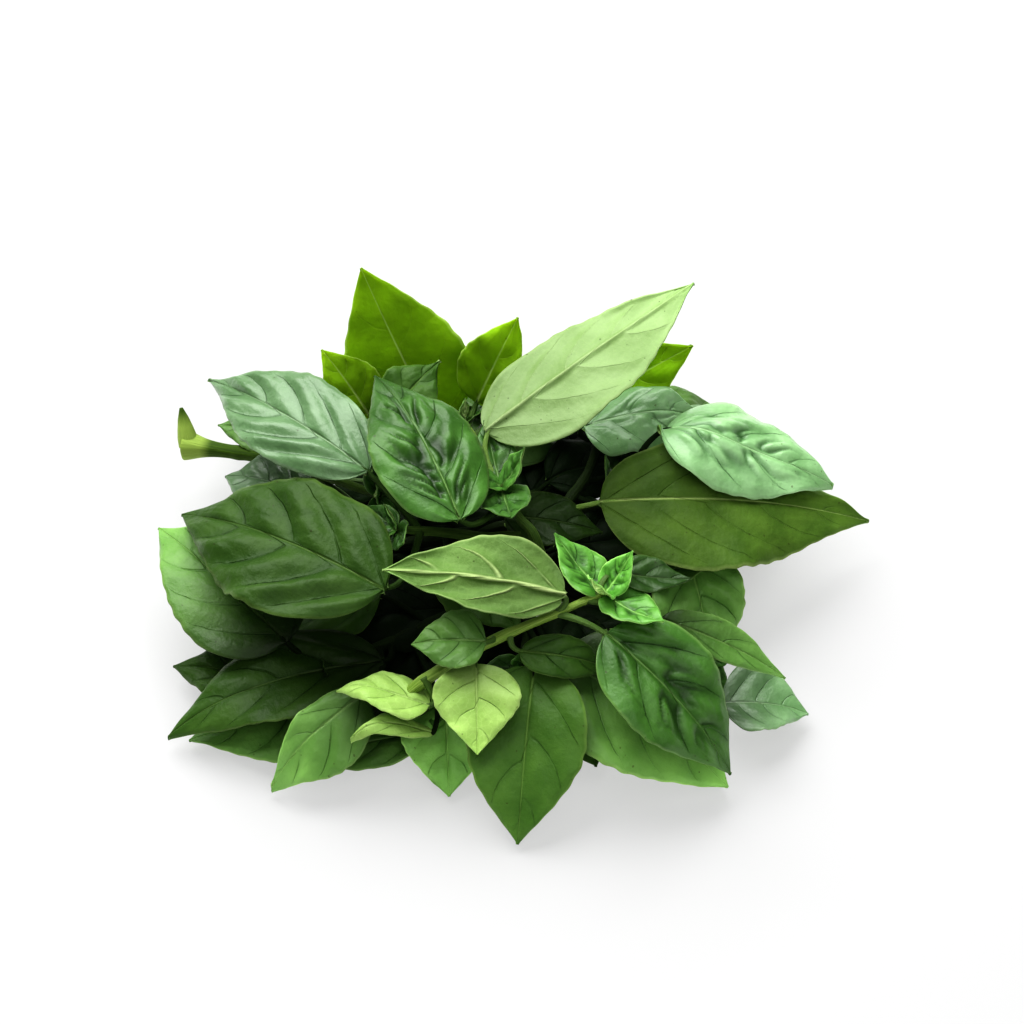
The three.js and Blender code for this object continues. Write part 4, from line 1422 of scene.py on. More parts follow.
def bunch() -> list[Sprig]:
    """The bunch's sprigs, lowest first, as in the solids.

    Returns:
        The sprigs.
    """
    deep, green, bright, lime = Look.DEEP, Look.GREEN, Look.BRIGHT, Look.LIME
    bluish, fresh, pale, shaded = Look.BLUISH, Look.FRESH, Look.PALE, Look.SHADED
    return [
        Sprig(
            "sprig_front_left",
            "shaded_leaf",
            [(-6, 2, 1.9), (-11, -26, 4), (-20, -50, 12)],
            1.9,
            Tuft(0.7, 20),
            [
                Leaf(0.2, (-14, 2, 6), (-42, 4, 5), 24, shaded),
                Leaf(0.35, (-16, -20, 7), (-46, -31, 5), 28, shaded),
                Leaf(0.35, (-2, -22, 8), (16, -46, 4), 28, shaded),
                Leaf(0.65, (-22, -54, 6), (-61, -61, 1), 18, green, arch=0.05, wave=1.2, tone=1.2),
                Leaf(
                    0.7, (-18, -47, 12), (-17, -73, 0.5), 25, green,
                    arch=0.1, crinkle=0.8, tone=3.0,
                ),
                # The dark shaded leaves marked as shade fillers below are put low in the bunch,
                # painted shade where it shows only shade.
                Leaf(0.15, (-14, -13, 4), (-52, -22, 2), 27, shaded, shade_filler=True),
                Leaf(0.3, (-2, -12, 4), (-14, -38, 2), 20, shaded, shade_filler=True),
                Leaf(0.5, (-20, -44, 6), (-46, -54, 2), 17, shaded, shade_filler=True),
                Leaf(0.05, (-4, -7, 4), (17, -13, 2), 16, shaded, shade_filler=True),
            ],
            lies=0.4,
            stem_look=StemLook.SHADED,
        ),
        Sprig(
            "sprig_right_front",
            "shaded_leaf",
            [(14, -2, 1.9), (32, -18, 4), (54, -34, 12)],
            1.9,
            Tuft(0.7, 70),
            [
                Leaf(0.1, (17, 3, 5), (6, 26, 4), 22, shaded),
                Leaf(0.3, (30, -6, 7), (62, 2, 5), 28, shaded),
                Leaf(0.2, (15, -12, 7), (24, -32, 5), 22, shaded),
                Leaf(0.35, (24, -22, 7), (44, -48, 4), 26, shaded),
                Leaf(0.75, (48, -6, 24), (55.5, -32, 5), 26, green, arch=0.1, tone=1.75),
                Leaf(0.75, (38, -17, 22), (58, -10, 21), 12, deep, roll=-20, tone=1.2),
                Leaf(
                    0.9, (57, -47, 10), (81, -46.5, 5), 20, bluish,
                    arch=0.08, cup=0.3, crinkle=0.7, sides=(1.15, 1.2), tone=1.35, fade=(0.3, 1.4),
                ),
                Leaf(0.05, (12, 8, 4), (22, -8, 2), 14, shaded, shade_filler=True),
            ],
            lies=0.4,
            stem_look=StemLook.SHADED,
        ),
        Sprig(
            "sprig_back_low",
            "shaded_leaf",
            [(-6, 16, 1.9), (-16, 34, 4), (-30, 46, 12)],
            1.9,
            Tuft(0.8, 30),
            [
                Leaf(0.1, (4, 27, 6), (22, 57, 3), 28, shaded),
                Leaf(0.1, (-12, 17, 6), (-37, 11, 5), 20, shaded),
                Leaf(0.3, (-22, 21, 7), (-56, 25, 5), 28, shaded),
                Leaf(0.35, (-4, 36, 7), (2, 68, 2), 30, green, tone=0.75, fade=(0.7, 1.2)),
                Leaf(0.7, (-20, 50, 10), (-24, 80, 1), 28, green, tone=0.95),
                Leaf(0.95, (-38, 42, 12), (-66, 60, 1), 28, green, tone=0.8, fade=(0.9, 1.2)),
                Leaf(0.05, (-4, 14, 4), (20, 23, 2.5), 20, shaded, shade_filler=True),
                Leaf(0.1, (10, 30, 4), (40, 46, 2), 20, shaded, shade_filler=True),
                Leaf(0.1, (-2, 15, 4), (-19, 33, 2), 24, shaded, shade_filler=True),
                Leaf(0.6, (-32, 27, 4), (-54, 39, 2), 20, shaded, shade_filler=True),
            ],
            lies=0.4,
            stem_look=StemLook.SHADED,
        ),
        Sprig(
            "sprig_left_low",
            "deep_leaf",
            [(-2, -8, 6), (-28, -24, 9), (-56, -38, 13)],
            2.0,
            Tuft(0.8, 40, tone=0.4),
            [
                Leaf(0.55, (-45, -46, 9), (-88, -54, 1), 29, green, roll=-4, arch=0.05, tone=1.6),
                Leaf(0.4, (-36, -14, 12), (-70, -12, 6), 28, deep),
                Leaf(0.9, (-57, -44, 10), (-93, -32, 8), 27, deep, tone=0.7),
                Leaf(
                    0.6, (-35, -38, 17), (-93.5, -55, 3), 30, deep,
                    roll=4, arch=0.1, cup=0.15, tone=0.68, fade=(0.4, 1.6),
                ),
                Leaf(
                    0.9, (-61, -36, 20), (-98, 5, 22), 35, green,
                    roll=-12, arch=0.1, crinkle=0.9, spot=(0.5, -0.4), tone=1.35, fade=(0.1, 1.35),
                ),
                Leaf(
                    0.65, (-39, -53, 18), (-65, -71, 1), 24, green,
                    roll=-12, arch=0.1, crinkle=0.8, sides=(0.5, 0.95), tone=2.0, fade=(0.25, 1.2),
                ),
                Leaf(0.5, (-25, -56, 17), (-47, -62, 13), 9, lime, roll=30, nudge=(4, -8, 0)),
            ],
            stem_look=StemLook.SHADED,
        ),
        Sprig(
            "sprig_front",
            "deep_leaf",
            [(6, 26, 6), (5, -10, 10), (3, -44, 22)],
            2.0,
            Tuft(0.8, 10),
            [
                Leaf(0.3, (12, 4, 12), (42, 10, 8), 30, shaded),
                Leaf(0.6, (12, -36, 9), (23, -63, 1), 26, deep, arch=0.05, tone=1.3),
                Leaf(
                    0.7, (13, -45, 28), (58.5, -70, 1), 40, green,
                    roll=6, arch=0.1, crinkle=0.9, hem=1.2, tone=2.0, fade=(0.1, 1.65),
                ),
                Leaf(
                    0.85, (6, -50, 31), (1.5, -89, 0.5), 33, deep,
                    arch=0.12, cup=0.12, crinkle=0.7, tone=1.55, fade=(0.8, 1.25),
                ),
            ],
            stem_look=StemLook.SHADED,
        ),
        Sprig(
            "sprig_back_right",
            "deep_leaf",
            [(12, 10, 9), (20, 26, 14), (26, 40, 22)],
            1.8,
            Tuft(0.8, 0),
            [
                Leaf(0.3, (34, 16, 14), (80, 30, 3), 30, deep),
                Leaf(0.5, (28, 30, 12), (58, 44, 8), 28, deep),
                Leaf(0.7, (24, 46, 14), (26, 76, 1), 28, green, tone=0.8),
                Leaf(0.9, (36, 46, 16), (62, 62, 3), 26, green, tone=0.85, fade=(1.1, 0.8)),
                Leaf(0.8, (44, 36, 20), (78, 44, 10), 26, bluish),
                Leaf(0.95, (24, 50, 24), (50, 49, 47.5), 22, bright, roll=45, arch=0.04, tone=1.4),
                Leaf(
                    0.9, (20, 32, 33), (53, 34, 32), 24, bluish,
                    roll=-8, cup=-0.15, hem=1.0, creases=0.4, tone=1.5,
                ),
            ],
            stem_look=StemLook.SHADED,
        ),
        Sprig(
            "sprig_right",
            "deep_leaf",
            [(-40, 6, 10), (-4, 3, 24), (30, 8, 30)],
            1.9,
            Tuft(0.8, 50),
            [
                Leaf(0.3, (-16, -8, 24), (2, -32, 20), 26, deep),
                Leaf(0.35, (-2, -1, 34), (25, -4, 31), 17, deep, roll=12, tone=0.45),
                Leaf(
                    0.5, (24, 1, 38), (99.5, 11, 17), 36, Look.OLIVE,
                    roll=18, arch=0.1, cup=0.08, crinkle=0.9, lumps=0.3, wave=2.0, point=0.55,
                    sides=(1.2, 1.0), tone=1.1, fade=(0.75, 1.6), lit_stalk=True,
                ),
                Leaf(
                    1, (41, 21, 38), (89, 13, 25), 30, bluish,
                    roll=8, arch=0.12, cup=-0.1, crinkle=1.1, lumps=0.3, wave=1.2,
                    spot=(0.35, 0.2), creases=0.9, tone=2.05,
                ),
            ],
            stem_look=StemLook.SHADED,
        ),
        Sprig(
            "sprig_back",
            "bright_leaf",
            [(-2, 17, 18), (-7, 28, 22), (-14, 40, 26)],
            1.8,
            Tuft(0.7, 25),
            [
                Leaf(0.8, (-6, 52, 16), (-6, 82, 2), 28, green, tone=0.85, fade=(0.8, 1.1)),
                Leaf(0.5, (6, 40, 24), (12, 68, 12), 26, green, tone=0.9),
                Leaf(
                    0.8, (-22, 47, 16), (-42, 65, 62), 36, bright,
                    roll=-40, arch=0.03, cup=0.06, crinkle=0.5, tone=1.15,
                ),
                Leaf(0.9, (-10, 46, 27), (1.5, 51, 57), 20, bright, roll=40, arch=0.03, tone=1.35),
                Leaf(0.9, (-40, 40, 28), (-53, 49, 46), 18, bright, roll=-20),
                Leaf(
                    0.7, (-34, 32, 38), (-20, 47, 44), 20, deep,
                    roll=10, crinkle=0.8, point=0.8, sides=(0.85, 0.85), tone=1.1,
                ),
            ],
        ),
        Sprig(
            "sprig_left_back",
            "deep_leaf",
            [(-92, 37, 19), (-66, 28, 23), (-36, 3, 38)],
            1.9,
            Tuft(0.9, 60),
            [
                Leaf(0.3, (-62, 36, 20), (-83, 43, 21), 16, green),
                Leaf(0.4, (-64, 42, 21), (-74, 66, 6), 24, green),
                Leaf(0.45, (-57, 10, 30), (-80, 21, 25), 24, bluish, tone=0.7),
                Leaf(0.6, (-42, -2, 32), (-62, -18, 27), 24, deep),
                Leaf(0.7, (-32, 14, 33), (-6, 22, 34), 26, deep),
            ],
            cut_node=CutNode(1.6, 2.0, (-93, 43, 28)),
            stem_look=StemLook.CUT,
        ),
        Sprig(
            "sprig_left_top",
            "deep_leaf",
            [(2, -11, 32), (-14, -13, 41), (-32, -15, 46)],
            1.7,
            Tuft(0.8, 30),
            [
                Leaf(
                    0.8, (-34, -36, 46), (-91, 3, 30), 40, deep,
                    roll=-10, arch=0.1, crinkle=2.9, lumps=0.15, wave=1.4, spot=(0.45, 0.6),
                    sides=(1.0, 1.14), tone=0.78,
                ),
                Leaf(
                    0.8, (-39, 1, 50), (-85, 45, 38), 29, bluish,
                    roll=-14, arch=0.1, crinkle=2.3, lumps=0.1, point=0.6, spot=(0.25, 0.65),
                    tone=0.93,
                ),
            ],
            stem_look=StemLook.DIM,
        ),
        Sprig(
            "sprig_front_top",
            "bright_leaf",
            [(-33, -58, 28), (-21, -53, 32), (-4, -47, 39), (12, -43, 45), (25, -38, 48)],
            1.6,
            Tuft(1.25, 24, 0.85, tone=2.3),
            [
                Leaf(
                    0.2, (-22, -58, 24), (-47, -55, 22), 17, lime,
                    roll=10, nudge=(0, -1.5, 2), tone=1.12,
                ),
                Leaf(
                    0.3, (-9.5, -54, 37), (-9.2, -75, 25), 23, lime,
                    cup=0.2, crinkle=0.6, tone=0.95, fade=(0.55, 1.8),
                ),
                Leaf(0.5, (-7, -46, 40), (-27, -45, 38), 18, green, roll=-10, nudge=(0, -3.6, 1)),
                Leaf(0.55, (2, -50, 36), (28, -50, 24), 13, deep, roll=30),
                Leaf(
                    0.9, (40, -42, 41), (74, -47, 21.5), 12, green,
                    roll=12, cup=0.2, tone=1.5, fade=(0.15, 1.4),
                ),
                Leaf(
                    0.75, (25, -49, 44), (59, -72, 12), 31, fresh,
                    roll=10, arch=0.12, cup=0.12, crinkle=1.6, lumps=0.35, creases=0.8, tone=1.2,
                ),
                Leaf(0.95, (28, -33, 50), (48, -32, 46), 12, fresh, arch=-0.06, cup=0.3, tone=0.5),
                Leaf(
                    0.75, (14, -41, 50), (-34.5, -33, 50), 28, green,
                    roll=170, arch=-0.08, sides=(0.7, 1.0), tone=1.1, fade=(0.7, 1.15),
                ),
            ],
            dip=7,
        ),
        Sprig(
            "sprig_top",
            "pale_leaf",
            [(10, -20, 24), (3, -10, 40), (-3, -3, 50)],
            1.6,
            Tuft(1.3, 60, 0.7, tone=1.1),
            [
                Leaf(
                    0.8, (-7, 14, 52), (50.5, 55, 66), 28, pale,
                    roll=176, arch=-0.05, bend=0.02, crinkle=0.6, sides=(1.0, 1.25),
                    tone=1.05, fade=(0.62, 1.05), lit_stalk=True,
                ),
                Leaf(
                    0.85, (-14, -20, 56), (-37.5, 30, 58), 31, fresh,
                    roll=6, arch=0.1, cup=-0.1, crinkle=1.5, lumps=0.3, hem=0.8,
                    spot=(0.25, 0.6), creases=1.3, tone=0.85, fade=(1.5, 0.9),
                ),
            ],
            stem_look=StemLook.DIM,
        ),
    ]


# ---------- finishes ----------
def shade(red: int, green: int, blue: int) -> Colour:
    """A colour as light, from its screen values of 0 to 255."""
    values = (value / 255 for value in (red, green, blue))
    return tuple(v / 12.92 if v <= 0.04045 else ((v + 0.055) / 1.055) ** 2.4 for v in values)


class Nodes:
    """Adds nodes to a tree with few words."""

    def __init__(self, tree: bpy.types.NodeTree) -> None:
        """Works on this tree."""
        self.tree = tree

    def node(self, kind: str, inputs: dict | None = None, **settings: object) -> bpy.types.Node:
        """Adds a node.

        Args:
            kind: Its type.
            inputs: Values or sockets for its inputs, by name or number.
            settings: Its other settings.

        Returns:
            The node.
        """
        made = self.tree.nodes.new(kind)
        for key, value in settings.items():
            setattr(made, key, value)
        for key, value in (inputs or {}).items():
            self.feed(made.inputs[key], value)
        return made

    def feed(self, socket: bpy.types.NodeSocket, value: object) -> None:
        """Links a socket to an input, or sets the input's own value.

        Args:
            socket: The input.
            value: A socket, a number, a colour or a vector.
        """
        if isinstance(value, bpy.types.NodeSocket):
            self.tree.links.new(value, socket)
        elif socket.type == "RGBA" and len(value) == 3:
            socket.default_value = (*value, 1.0)
        else:
            socket.default_value = value

    def math(self, operation: str, *values: object) -> bpy.types.NodeSocket:
        """The result of a sum on values or sockets."""
        node = self.node("ShaderNodeMath", dict(enumerate(values)), operation=operation)
        return node.outputs[0]

    def ramp(self, value: object, low: object, high: object, first: float, last: float) -> object:
        """A smooth step of value between low and high, from first to last.

        Args:
            value: What is stepped.
            low: Where the step starts.
            high: Where it ends.
            first: The result below it.
            last: The result above it.

        Returns:
            The result's socket.
        """
        ends = {"From Min": low, "From Max": high, "To Min": first, "To Max": last}
        inputs = {"Value": value, **ends}
        node = self.node("ShaderNodeMapRange", inputs, interpolation_type="SMOOTHSTEP")
        return node.outputs["Result"]

    def mix(self, share: object, first: object, second: object) -> bpy.types.NodeSocket:
        """A mix of two colours.

        Args:
            share: The second's share.
            first: A colour.
            second: Another.

        Returns:
            The colour's socket.
        """
        node = self.node("ShaderNodeMix", data_type="RGBA")
        self.feed(node.inputs[0], share)
        self.feed(node.inputs[6], first)
        self.feed(node.inputs[7], second)
        return node.outputs[2]

    def noise(self, place: object, scale: float, detail: float = 3.0) -> bpy.types.NodeSocket:
        """Soft noise from 0 to 1."""
        inputs = {"Vector": place, "Scale": scale, "Detail": detail}
        return self.node("ShaderNodeTexNoise", inputs).outputs["Fac"]


def new_group(name: str, inputs: dict[str, tuple[str, object]], outputs: dict[str, str]) -> tuple:
    """Starts a node group.

    Args:
        name: Its name.
        inputs: Each input's kind of socket and first value.
        outputs: Each output's kind of socket.

    Returns:
        The group, its input node and its output node.
    """
    tree = bpy.data.node_groups.new(name, "ShaderNodeTree")
    for key, (kind, value) in inputs.items():
        socket = tree.interface.new_socket(name=key, in_out="INPUT", socket_type=kind)
        if value is not None:
            socket.default_value = value
    for key, kind in outputs.items():
        tree.interface.new_socket(name=key, in_out="OUTPUT", socket_type=kind)
    return tree, tree.nodes.new("NodeGroupInput"), tree.nodes.new("NodeGroupOutput")


# ---------- the leaf pattern ----------
# The midrib's widths are in millimetres, the side veins' as shares of their spacing, and where
# things end as shares of the blade.
RIB_WIDTH = 0.75
RIB_NARROWS = 0.55
RIB_FADES_TO = 0.4
RIB_SHADE_SPREAD = 2.4
VEIN_WIDTH = 0.05
VEIN_NARROWS = 0.7
VEIN_SWAY = 0.06
VEIN_SHADE_SPREAD = 0.2
FURROW_SHADE_ENDS = (0.55, 0.95)
VEINS_END_ACROSS = (0.78, 0.97)
VEINS_END_ALONG = (0.82, 0.97)
VEINS_BREAK = (0.35, 0.6)
VEINS_BROKEN_TO = 0.25
NET_SIZE = 4.6
NET_LINE = 0.09
FINE_NET_SIZE = 8.5
FINE_NET_LINE = 0.14
FINE_NET_SHARE = 0.35
NET_RIPPLE = (0.12, 0.12, 0.0)
SPECKS = (0.8, 0.86)
EDGE_BAND = (0.93, 1.0)
RIB_HEIGHT = 1.2
BLISTER_HEIGHT = 1.3
GRAIN_HEIGHT = 0.1


def leaf_pattern() -> bpy.types.NodeTree:
    """The veins, net and mottling of a leaf, as masks and one height.

    Returns:
        The group.
    """
    number, vector = "NodeSocketFloat", "NodeSocketVector"
    tree, given, gives = new_group(
        "leaf_pattern",
        {
            "Veins": (vector, None),
            "Flesh": (vector, None),
            "Vein Width": (number, VEIN_WIDTH),
            "Net Size": (number, NET_SIZE),
            "Vein Rise": (number, -1.0),
        },
        {
            "Rib": number,
            "Side Veins": number,
            "Furrow Shade": number,
            "Net": number,
            "Mottle": number,
            "Speck": number,
            "Edge": number,
            "Height": number,
        },
    )
    n = Nodes(tree)
    veins = n.node("ShaderNodeSeparateXYZ", {0: given.outputs["Veins"]})
    flesh = n.node("ShaderNodeSeparateXYZ", {0: given.outputs["Flesh"]})
    phase, across, along = veins.outputs
    from_rib = flesh.outputs[2]
    plane = n.node(
        "ShaderNodeVectorMath", {0: given.outputs["Flesh"], 1: (1, 1, 0)}, operation="MULTIPLY"
    ).outputs[0]
    outward = n.math("ABSOLUTE", across)
    rib_width = n.math("MULTIPLY_ADD", along, -RIB_NARROWS, RIB_WIDTH)
    rib = n.ramp(from_rib, 0.0, rib_width, 1.0, 0.0)
    rib = n.math("MULTIPLY", rib, n.ramp(along, 0.0, 1.0, 1.0, RIB_FADES_TO))
    sway = n.noise(plane, 2.2, 2.0)
    bent = n.math("MULTIPLY_ADD", n.math("SUBTRACT", sway, 0.5), VEIN_SWAY, phase)
    apart = n.math("PINGPONG", bent, 0.5)
    thin = n.math("MULTIPLY_ADD", outward, -VEIN_NARROWS, 1.0)
    vein_width = n.math("MULTIPLY", given.outputs["Vein Width"], thin)
    side = n.ramp(apart, 0.0, vein_width, 1.0, 0.0)
    # Painted shade: a band along each side vein and the midrib where the colour is later darkened,
    # for the shade in their furrows.
    by_vein, by_rib = (
        n.ramp(away, 0.0, width, 1.0, 0.0)
        for away, width in ((apart, VEIN_SHADE_SPREAD), (from_rib, RIB_SHADE_SPREAD))
    )
    furrow_shade = n.math("MAXIMUM", by_vein, by_rib)
    furrow_shade = n.math("MULTIPLY", furrow_shade, n.ramp(outward, *FURROW_SHADE_ENDS, 1.0, 0.0))
    side = n.math("MULTIPLY", side, n.ramp(outward, *VEINS_END_ACROSS, 1.0, 0.0))
    side = n.math("MULTIPLY", side, n.ramp(along, *VEINS_END_ALONG, 1.0, 0.0))
    broken = n.ramp(n.noise(plane, 1.3, 2.0), *VEINS_BREAK, VEINS_BROKEN_TO, 1.0)
    side = n.math("MULTIPLY", side, broken)
    ripple = n.node("ShaderNodeTexNoise", {"Vector": plane, "Scale": 3.0})
    spread = n.node(
        "ShaderNodeVectorMath",
        {0: ripple.outputs["Color"], 1: NET_RIPPLE},
        operation="MULTIPLY",
    )
    place = n.node("ShaderNodeVectorMath", {0: plane, 1: spread.outputs[0]})
    cells = [
        n.node(
            "ShaderNodeTexVoronoi",
            {"Vector": place.outputs[0], "Scale": scale},
            feature="DISTANCE_TO_EDGE",
            voronoi_dimensions="2D",
        ).outputs["Distance"]
        for scale in (given.outputs["Net Size"], FINE_NET_SIZE)
    ]
    coarse = n.ramp(cells[0], 0.0, NET_LINE, 1.0, 0.0)
    fine = n.ramp(cells[1], 0.0, FINE_NET_LINE, 1.0, 0.0)
    net = n.math("MULTIPLY_ADD", fine, FINE_NET_SHARE, coarse)
    mottle = n.noise(plane, 0.9, 4.0)
    speck = n.ramp(n.noise(plane, 9.0, 0.0), *SPECKS, 0.0, 1.0)
    edge = n.ramp(outward, *EDGE_BAND, 0.0, 1.0)
    rise = given.outputs["Vein Rise"]
    lines = n.math("MULTIPLY_ADD", rib, RIB_HEIGHT, side)
    blister = n.math("MULTIPLY", n.noise(plane, 5.0, 4.0), BLISTER_HEIGHT)
    grain = n.math("MULTIPLY_ADD", n.noise(plane, 26.0, 2.0), GRAIN_HEIGHT, blister)
    height = n.math("MULTIPLY_ADD", lines, rise, grain)
    results = (rib, side, furrow_shade, net, mottle, speck, edge, height)
    for socket, result in zip(gives.inputs, results):
        tree.links.new(result, socket)
    return tree


SPECK = shade(52, 50, 24)


@dataclass(frozen=True)
class LeafFinish:
    """One side of a kind of leaf.

    vein is the colour of the midrib, the net and the edge, and line that of the side veins and
    the creases: on an upper side line is dark, painted shade in the sunk veins and creases, and
    on an underside it is the veins' own pale colour. furrow_shade_show is how far the colour is
    darkened by the veins and the midrib, as painted shade in their furrows.
    glow is the colour of the light that comes through and glow_share how much does, shine is
    the specular level, and vein_rise how far veins stand out, below zero where they are sunk.
    relief is how high the pattern stands at most, in millimetres.
    """

    name: str
    flesh: Colour
    dark: Colour
    vein: Colour
    glow: Colour
    line: Colour
    roughness: float = 0.42
    shine: float = 0.3
    coat: float = 0.0
    glow_share: float = 0.22
    vein_show: float = 0.45
    rib_show: float = 0.4
    net_show: float = 0.02
    furrow_shade_show: float = 0.6
    vein_rise: float = -1.0
    vein_width: float = VEIN_WIDTH
    relief: float = 0.25

    MOTTLED = (0.3, 0.7)
    FLESH_LEAST = 0.45
    EDGE_SHOW = 0.45
    CREASE_SHADE = 0.85
    SPECK_SHOW = 0.6
    ROUGH_SWING = 0.16
    COAT_ROUGHNESS = 0.25
    DARK_THROUGH = 0.5

    def build(self, pattern: bpy.types.NodeTree) -> bpy.types.Material:
        """Makes the material.

        Args:
            pattern: The shared leaf pattern.

        Returns:
            The material.
        """
        material = bpy.data.materials.new(self.name)
        material.use_nodes = True
        tree = material.node_tree
        tree.nodes.clear()
        n = Nodes(tree)
        veins = n.node("ShaderNodeAttribute", attribute_name="veins").outputs["Vector"]
        flesh = n.node("ShaderNodeAttribute", attribute_name="flesh").outputs["Vector"]
        leaf = n.node("ShaderNodeGroup", node_tree=pattern)
        n.feed(leaf.inputs["Veins"], veins)
        n.feed(leaf.inputs["Flesh"], flesh)
        leaf.inputs["Vein Rise"].default_value = self.vein_rise
        leaf.inputs["Vein Width"].default_value = self.vein_width
        own = n.node("ShaderNodeAttribute", attribute_name="own").outputs["Vector"]
        tone, lines, crease_shade = n.node("ShaderNodeSeparateXYZ", {0: own}).outputs
        uneven = n.ramp(leaf.outputs["Mottle"], *self.MOTTLED, self.FLESH_LEAST, 1.0)
        colour = n.mix(uneven, self.dark, self.flesh)
        # Painted shade: the colour is darkened in the furrows by the veins and the midrib.
        furrow_shade = n.math("MULTIPLY", leaf.outputs["Furrow Shade"], self.furrow_shade_show)
        colour = n.mix(n.math("MULTIPLY", furrow_shade, lines), colour, self.dark)
        colour = n.mix(n.math("MULTIPLY", leaf.outputs["Net"], self.net_show), colour, self.vein)
        # On an upper side the side veins take the dark line colour, painted shade in the sunk
        # veins; on an underside it is their own pale colour.
        side = n.math("MULTIPLY", leaf.outputs["Side Veins"], self.vein_show)
        side = n.math("MULTIPLY", side, lines)
        colour = n.mix(side, colour, self.line)
        rib = n.math("MULTIPLY", leaf.outputs["Rib"], self.rib_show)
        colour = n.mix(rib, colour, self.vein)
        colour = n.mix(n.math("MULTIPLY", leaf.outputs["Edge"], self.EDGE_SHOW), colour, self.vein)
        # Painted shade: the middle of each crease is darkened with the line colour.
        colour = n.mix(n.math("MULTIPLY", crease_shade, self.CREASE_SHADE), colour, self.line)
        colour = n.mix(n.math("MULTIPLY", leaf.outputs["Speck"], self.SPECK_SHOW), colour, SPECK)
        # Painted light and shade: the colour is scaled by each leaf's lightness, lighter or darker
        # as a whole and graded from base to tip.
        colour = n.node(
            "ShaderNodeVectorMath", {"Vector": colour, "Scale": tone}, operation="SCALE"
        ).outputs[0]
        smoothest = self.roughness - self.ROUGH_SWING / 2
        rough = n.math("MULTIPLY_ADD", leaf.outputs["Mottle"], self.ROUGH_SWING, smoothest)
        bump = n.node(
            "ShaderNodeBump",
            {"Height": leaf.outputs["Height"], "Distance": self.relief * MM, "Strength": 1.0},
        )
        skin = n.node(
            "ShaderNodeBsdfPrincipled",
            {"Base Color": colour, "Roughness": rough, "Normal": bump.outputs[0]},
        )
        skin.inputs["Specular IOR Level"].default_value = self.shine
        skin.inputs["Coat Weight"].default_value = self.coat
        skin.inputs["Coat Roughness"].default_value = self.COAT_ROUGHNESS
        through = n.mix(n.math("MAXIMUM", side, rib), self.glow, self.vein)
        dim = n.math("MULTIPLY_ADD", uneven, -self.DARK_THROUGH, self.DARK_THROUGH)
        through = n.mix(dim, through, self.dark)
        light = n.node(
            "ShaderNodeBsdfTranslucent", {"Color": through, "Normal": bump.outputs[0]}
        )
        both = n.node(
            "ShaderNodeMixShader", {0: self.glow_share, 1: skin.outputs[0], 2: light.outputs[0]}
        )
        n.node("ShaderNodeOutputMaterial", {"Surface": both.outputs[0]})
        return material


UPPER_SIDES = {
    # Painted shade: the shaded look is an almost black green for leaves low in the bunch, standing
    # for the shade that they lie in.
    Look.SHADED: LeafFinish(
        "leaf_shaded",
        flesh=shade(24, 41, 16), dark=shade(14, 27, 10), vein=shade(38, 56, 27),
        glow=shade(38, 60, 14), line=shade(12, 22, 8),
        glow_share=0.1, shine=0.1, roughness=0.55,
    ),
    Look.DEEP: LeafFinish(
        "leaf_deep",
        flesh=shade(74, 104, 46), dark=shade(46, 76, 28), vein=shade(124, 150, 84),
        glow=shade(96, 136, 26), line=shade(26, 46, 16),
        glow_share=0.14, shine=0.16,
    ),
    Look.GREEN: LeafFinish(
        "leaf_green",
        flesh=shade(106, 142, 76), dark=shade(72, 108, 50), vein=shade(150, 180, 110),
        glow=shade(130, 174, 50), line=shade(44, 76, 30),
    ),
    # Partly painted light: the bright lime flesh and pale midrib are lighter than the leaves' own
    # green, for light shining through these upright leaves at the back, besides their glow.
    Look.BRIGHT: LeafFinish(
        "leaf_bright",
        flesh=shade(142, 176, 42), dark=shade(96, 134, 24), vein=shade(232, 250, 168),
        glow=shade(226, 252, 44), line=shade(190, 220, 100),
        glow_share=0.6, shine=0.1, roughness=0.6, rib_show=0.85, furrow_shade_show=0.3, vein_rise=-0.5,
    ),
    Look.LIME: LeafFinish(
        "leaf_lime",
        flesh=shade(166, 197, 114), dark=shade(136, 174, 82), vein=shade(192, 216, 142),
        glow=shade(170, 204, 90), line=shade(120, 156, 70),
        roughness=0.5, net_show=0.2, furrow_shade_show=0.35,
    ),
    # Partly painted sheen: the pale greyish blue green stands for the light that these glossy
    # leaves reflect, over their own green.
    Look.BLUISH: LeafFinish(
        "leaf_bluish_sheen",
        flesh=shade(122, 154, 112), dark=shade(78, 114, 68), vein=shade(158, 186, 142),
        glow=shade(116, 158, 66), line=shade(40, 70, 36),
        shine=0.5, coat=0.25,
    ),
    Look.FRESH: LeafFinish(
        "leaf_fresh",
        flesh=shade(82, 124, 56), dark=shade(44, 80, 28), vein=shade(144, 176, 108),
        glow=shade(126, 170, 46), line=shade(16, 36, 12),
        shine=0.4, coat=0.08,
    ),
    Look.PALE: LeafFinish(
        "leaf_pale",
        flesh=shade(114, 156, 84), dark=shade(92, 134, 66), vein=shade(164, 196, 124),
        glow=shade(176, 208, 90), line=shade(70, 110, 50),
    ),
    Look.OLIVE: LeafFinish(
        "leaf_olive",
        flesh=shade(84, 110, 46), dark=shade(48, 74, 26), vein=shade(160, 180, 114),
        glow=shade(110, 144, 30), line=shade(92, 116, 56),
        roughness=0.5, shine=0.12, rib_show=0.8, vein_show=0.3, furrow_shade_show=0.2,
    ),
}


